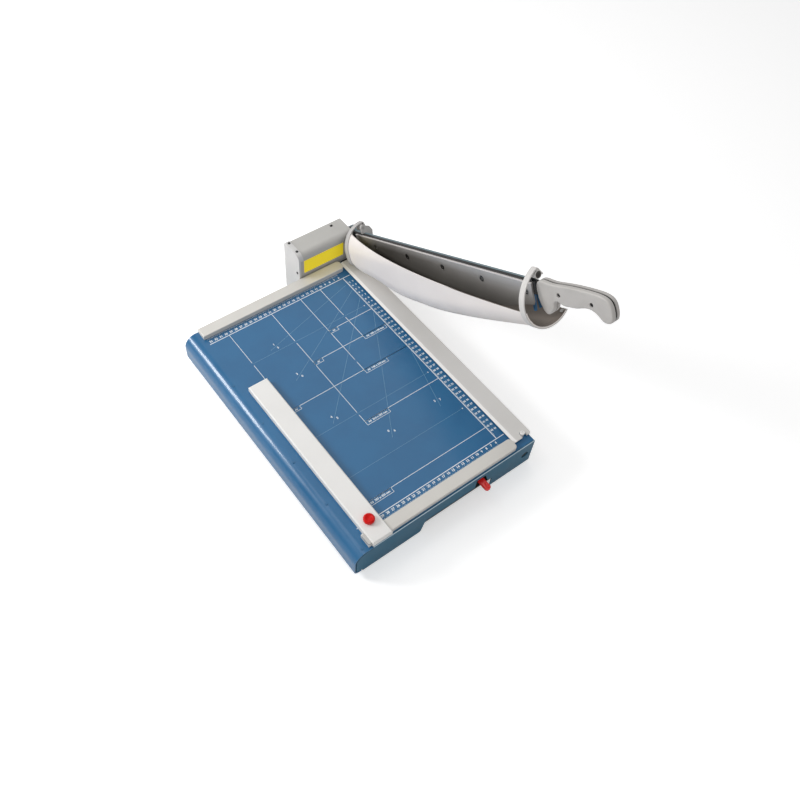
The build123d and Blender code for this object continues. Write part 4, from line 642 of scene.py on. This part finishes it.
def printed_piece(name, ink, finish, body):
    """Turns the gathered ink into one object that rides on a body."""
    bmesh.ops.recalc_face_normals(ink, faces=ink.faces)
    sheet = bpy.data.meshes.new(name)
    ink.to_mesh(sheet)
    ink.free()
    piece = bpy.data.objects.new(name, sheet)
    bpy.context.collection.objects.link(piece)
    piece.data.materials.append(finish)
    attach(piece, body)
    print(name + ":", len(sheet.polygons), "faces")


WHITE_INK = coated("white ink", (0.72, 0.77, 0.80), (0.80, 0.83, 0.85), (0.45, 0.6), fine=1200, bump=0.1)
PALE_INK = coated("pale ink", (0.16, 0.32, 0.46), (0.20, 0.36, 0.50), (0.45, 0.6), fine=1200, bump=0.1)
print("inks:", WHITE_INK.name, "and", PALE_INK.name)

# %% [markdown]
# The paper formats follow the A series. Each one is an L of two lines from the back stop and the cut,
# with breaks in the long line where the half formats end. The turned formats only need their lower line.

# %% Paper formats
LINE = 0.9
HEAVY = 1.3
STOP_LINE = -14.5
CUT_LINE = -54.0
FRONT_LINE = -447.0
SCALE_LEFT = -335.0
SCALE_RIGHT = -38.0
BREAK = 6.0
UPRIGHT = ((105, 148, [92]), (148, 210, [186]), (210, 297, [93, 278]), (297, 420, [93]))
TURNED_ROUND = ((148, 105), (210, 148), (297, 210))

ink = bmesh.new()
stroke(ink, (SCALE_LEFT, STOP_LINE), (SCALE_RIGHT, STOP_LINE), HEAVY)
stroke(ink, (CUT_LINE, STOP_LINE), (CUT_LINE, FRONT_LINE), HEAVY)
stroke(ink, (SCALE_LEFT, FRONT_LINE), (SCALE_RIGHT, FRONT_LINE), HEAVY)
for width, length, breaks in UPRIGHT:
    start = STOP_LINE
    for gap in breaks:
        stroke(ink, (-width, start), (-width, -gap + BREAK / 2), LINE)
        start = -gap - BREAK / 2
    stroke(ink, (-width, start), (-width, -length), LINE)
    stroke(ink, (-width, -length), (CUT_LINE, -length), LINE)
for width, length in TURNED_ROUND:
    stroke(ink, (-width, -length), (CUT_LINE, -length), LINE)
print("formats:", len(UPRIGHT) + len(TURNED_ROUND))

# %% [markdown]
# A small box with the format's name hangs under the corner of each format.

# %% Format labels
LONG_LABEL = (47.0, 8.5)
SHORT_LABEL = (17.0, 7.0)
BOX_LINE = LINE * 0.8
WORD_SHARE = 0.42


def label_box(ink, x, y, size, words):
    """A frame of the given length and depth, hung from a corner, with words in it."""
    length, depth = size
    corners = [(x, y), (x + length, y), (x + length, y - depth), (x, y - depth)]
    for i in range(4):
        stroke(ink, corners[i], corners[(i + 1) % 4], BOX_LINE)
    figure(ink, words, x + length / 2, y - depth / 2, depth * WORD_SHARE)


for number, (width, length, _) in zip((6, 5, 4, 3), UPRIGHT):
    label_box(ink, -width, -length, LONG_LABEL, f"A{number}  {width} x {length} mm")
for number, (width, length) in zip((6, 5, 4), TURNED_ROUND):
    label_box(ink, -width, -length, SHORT_LABEL, f"A{number}")
print("labels:", len(UPRIGHT) + len(TURNED_ROUND))

# %% [markdown]
# The scales are combs of millimetre ticks with a figure at every centimetre. The strip beside the
# pressing bar has one comb and two columns of figures.

# %% Scales
TICK = 0.28
TENTH, FIFTH, OTHER = 1.0, 0.8, 0.55
COMBS = (
    # start, end, runs along x, base, reach
    (-58, -334, True, -0.6, -4.6),
    (-58, -334, True, -459.6, 4.2),
    (-24, -440, False, -53.0, 2.2),
)
BACK_ROW, FRONT_ROW = -9.4, -452.0
STRIP_COLUMNS = (-49.0, -42.4)
ROW_CENTIMETRES = range(6, 34)
STRIP_CENTIMETRES = range(3, 44)
ROW_FIGURE = 4.2
STRIP_FIGURE = 3.4


def comb(ink, start, end, along_x, base, reach):
    """Millimetre ticks from start to end, longer at 5 and 10 mm, standing on the line at base."""
    for step in range(int(abs(end - start)) + 1):
        at = start + math.copysign(step, end - start)
        size = reach * (TENTH if round(at) % 10 == 0 else FIFTH if round(at) % 5 == 0 else OTHER)
        first, last = ((at, base), (at, base + size)) if along_x else ((base, at), (base + size, at))
        stroke(ink, first, last, TICK)


for row in COMBS:
    comb(ink, *row)
for centimetre in ROW_CENTIMETRES:
    for y in (BACK_ROW, FRONT_ROW):
        figure(ink, str(centimetre), -10 * centimetre, y, ROW_FIGURE)
for centimetre in STRIP_CENTIMETRES:
    for x in STRIP_COLUMNS:
        figure(ink, str(centimetre), x, -10 * centimetre, STRIP_FIGURE)
printed_piece("table_print", ink, WHITE_INK, "base")

# %% [markdown]
# Thin pale lines fan out from the end of the cut every 15 degrees, for cutting at an angle. The degrees
# stand on both sides of each line's end. Three pale guides run across to a small cross at the strip.

# %% Angle lines
ANGLE_CORNER = Vector((0.0, -16.0))
ANGLES = ((15, 252, 62), (30, 282, 66), (45, 348, 80), (60, 370, 112), (75, 327, 215))
STEEP = 50
RAY_LINE = 0.45
RAY_TAIL = 13
DIGIT_ASIDE = 5.0
DIGIT = 4.2
GUIDE_YS = (-92, -277, -369)
GUIDE_ENDS = (-297, -64)
GUIDE_LINE = 0.4
CROSS_X = -61
CROSS = 3.2

fan = bmesh.new()
marks = bmesh.new()
for degrees, radius, start in ANGLES:
    ray = Vector((-math.cos(math.radians(degrees)), -math.sin(math.radians(degrees))))
    side = Vector((-ray.y, ray.x))
    stroke(fan, ANGLE_CORNER + ray * start, ANGLE_CORNER + ray * (radius + RAY_TAIL), RAY_LINE)
    for digit, hand in zip(str(degrees), (1, -1) if degrees > STEEP else (-1, 1)):
        at = ANGLE_CORNER + ray * radius + side * (hand * DIGIT_ASIDE)
        figure(marks, digit, at.x, at.y, DIGIT)
for y in GUIDE_YS:
    stroke(fan, (GUIDE_ENDS[0], y), (GUIDE_ENDS[1], y), GUIDE_LINE)
    figure(marks, "+", CROSS_X, y, CROSS)
printed_piece("angle_lines", fan, PALE_INK, "base")
printed_piece("angle_figures", marks, WHITE_INK, "base")

# %% [markdown]
# ## The plain yellow plate
# A foil plate sits on the front of the light box. It is left without a sign or words: only a foil with
# rounded corners, a fraction of a millimetre thick.

# %% Yellow plate
FOIL_X = (-113.0, -26.0)
FOIL_Z = (15.0, 45.0)
FOIL_THICKNESS = 0.25
FOIL_GAP = 0.005
CORNER_RADIUS = 1.2
CORNER_STEPS = 5


def rounded_ring(x, z):
    """Points round a rectangle from corner to corner in x and z, with rounded corners."""
    ring = []
    for cx, cz, first in ((x[1], z[1], 0), (x[0], z[1], 90), (x[0], z[0], 180), (x[1], z[0], 270)):
        mid_x = cx - math.copysign(CORNER_RADIUS, cx - sum(x) / 2)
        mid_z = cz - math.copysign(CORNER_RADIUS, cz - sum(z) / 2)
        for i in range(CORNER_STEPS + 1):
            angle = math.radians(first + 90 * i / CORNER_STEPS)
            ring.append((mid_x + CORNER_RADIUS * math.cos(angle), mid_z + CORNER_RADIUS * math.sin(angle)))
    return ring


# the foil glows faintly: painted light for a plate that sits in shade on the box's front
YELLOW_FOIL = coated("yellow foil", (0.95, 0.72, 0.014), (0.98, 0.76, 0.02), (0.3, 0.4), fine=700, bump=0.06,
                     wear_and_light=(0.95, 0.85, 0.3), Emission_Color=(1.0, 0.78, 0.02, 1), Emission_Strength=0.25)
wall_y = (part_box("light_cover")[0][1] - stop_y) * 1000
foil = bmesh.new()
ring = rounded_ring(FOIL_X, FOIL_Z)
front = [foil.verts.new(bench(x, wall_y - FOIL_THICKNESS, z)) for x, z in ring]
back = [foil.verts.new(bench(x, wall_y - FOIL_GAP, z)) for x, z in ring]
foil.faces.new(front)
foil.faces.new(back[::-1])
for i in range(len(ring)):
    j = (i + 1) % len(ring)
    foil.faces.new((front[i], back[i], back[j], front[j]))
printed_piece("yellow_plate", foil, YELLOW_FOIL, "base")

# %% [markdown]
# ## Floor, light and camera
# The floor is white, and it is lifted a little more where the camera looks straight at it. Right under the
# table a painted shadow makes it dark: the mask is how far a point lies outside the table's outline, which
# is the larger of its distances past the two half sizes.

# %% Floor
FLOOR_SIZE = 60.0
FLOOR_GLOW = 0.40
FLOOR_WHITE = (0.9, 0.9, 0.9)
PAINTED_FLOOR_SHADOW = (0.03, 0.03, 0.03)
UNDER_EDGE = 0.0105
UNDER_BLUR = 0.0015

bpy.ops.mesh.primitive_plane_add(size=FLOOR_SIZE, location=(0, 0, 0))
floor = bpy.context.object
floor.name = "studio_floor"
floor_finish, tree, shader = blank_finish("studio floor", Emission_Color=(1, 1, 1, 1), Roughness=0.9)
floor.data.materials.append(floor_finish)

table_low, table_high = [Vector(corner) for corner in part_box("table_sheet")]
half_table = (table_high - table_low) / 2 - Vector((UNDER_EDGE, UNDER_EDGE, 0))
spot = node(tree, "ShaderNodeTexCoord")
from_middle = vector_step(tree, "SUBTRACT", spot, "Object", (table_low + table_high) / 2)
either_side = node(tree, "ShaderNodeVectorMath", operation="ABSOLUTE")
wire(tree, from_middle, "Vector", either_side, 0)
outside = vector_step(tree, "SUBTRACT", either_side, "Vector", half_table)
sides = node(tree, "ShaderNodeSeparateXYZ")
wire(tree, outside, "Vector", sides, "Vector")
farther = pair(tree, "ShaderNodeMath", "MAXIMUM", sides, "X", sides, "Y")
open_floor = spread(tree, farther, "Value", 0.0, UNDER_BLUR)
# painted shadow under the table, white floor outside it
floor_colour = blend_colour(tree, PAINTED_FLOOR_SHADOW, FLOOR_WHITE, open_floor, "Result")
tree.links.new(floor_colour, shader.inputs["Base Color"])
straight_view = node(tree, "ShaderNodeLightPath")
seen = pair(tree, "ShaderNodeMath", "MULTIPLY", straight_view, "Is Camera Ray", open_floor, "Result")
glow = node(tree, "ShaderNodeMath", operation="MULTIPLY")
glow.inputs[1].default_value = FLOOR_GLOW
wire(tree, seen, "Value", glow, 0)
wire(tree, glow, "Value", shader, "Emission Strength")
print("floor:", FLOOR_SIZE, "m wide")

# %% [markdown]
# The sky is one even white. It looks brighter to the camera than the light it gives, so that the horizon
# runs into the floor without flattening the shadows.

# %% Sky
SKY_LIGHT = 0.42
SKY_SEEN = 0.80
scene = bpy.context.scene
world = bpy.data.worlds.new("studio")
scene.world = world
world.use_nodes = True
sky = world.node_tree.nodes["Background"]
sky.inputs["Color"].default_value = (1, 1, 1, 1)
looking = node(world.node_tree, "ShaderNodeLightPath")
brightness = spread(world.node_tree, looking, "Is Camera Ray", 0.0, 1.0)
brightness.inputs["To Min"].default_value = SKY_LIGHT
brightness.inputs["To Max"].default_value = SKY_SEEN
wire(world.node_tree, brightness, "Result", sky, "Strength")
scene.view_settings.view_transform = "Standard"
print("sky:", SKY_LIGHT)

# %% [markdown]
# A small strong light stands low at the left and behind: it draws the narrow highlight along the rolled
# side, makes the guard's outer side bright and leaves its inside in shade, which a painted shade deepens.
# Three weaker ones fill the shadows.

# %% Lights
LIGHTS = (
    # name, watts, size, place, aim
    ("key from the left and behind", 17.5, 0.5, (-1.2, 1.0, 1.0), (0, 0.1, 0.1)),
    ("fill from the left", 3.0, 0.7, (-0.6, 0.5, 1.9), (-0.1, -0.1, 0.1)),
    ("fill from above", 6.0, 1.6, (0.6, 1.1, 1.9), (0, 0, 0.1)),
    ("fill from the front", 4.5, 1.0, (-0.5, -1.3, 1.4), (0, 0, 0.1)),
)


def soft_light(name, power, size, place, aim):
    """A square area light at a place, turned to a point."""
    lamp = bpy.data.lights.new(name, "AREA")
    lamp.energy = power
    lamp.size = size
    stand = bpy.data.objects.new(name, lamp)
    stand.location = place
    stand.rotation_euler = (Vector(aim) - Vector(place)).to_track_quat("-Z", "Y").to_euler()
    bpy.context.collection.objects.link(stand)


for row in LIGHTS:
    soft_light(*row)
print("lights:", len(LIGHTS))

# %% [markdown]
# The camera stands to the left of the machine and above it, with a medium lens.

# %% Camera
CAMERA_PLACE = (-690.8, -888.4, 1125.8)
CAMERA_RIGHT = Vector((0.79995, -0.59813, 0.04820))
CAMERA_AIM = Vector((0.37962, 0.44223, -0.81260))
FILM_WIDTH = 36.0
FOCAL_LENGTH = 37.364
SIDE_SHIFT = 0.0261
lens = bpy.data.cameras.new("camera")
lens.sensor_width = FILM_WIDTH
lens.lens = FOCAL_LENGTH
lens.shift_x = SIDE_SHIFT
camera = bpy.data.objects.new("camera", lens)
bpy.context.collection.objects.link(camera)
back = -CAMERA_AIM.normalized()
up = back.cross(CAMERA_RIGHT).normalized()
right = up.cross(back)
turn = Matrix((right, up, back)).transposed().to_4x4()
camera.matrix_world = Matrix.Translation(bench(*CAMERA_PLACE)) @ turn
scene.camera = camera
print("camera at", [round(v, 3) for v in bench(*CAMERA_PLACE)])
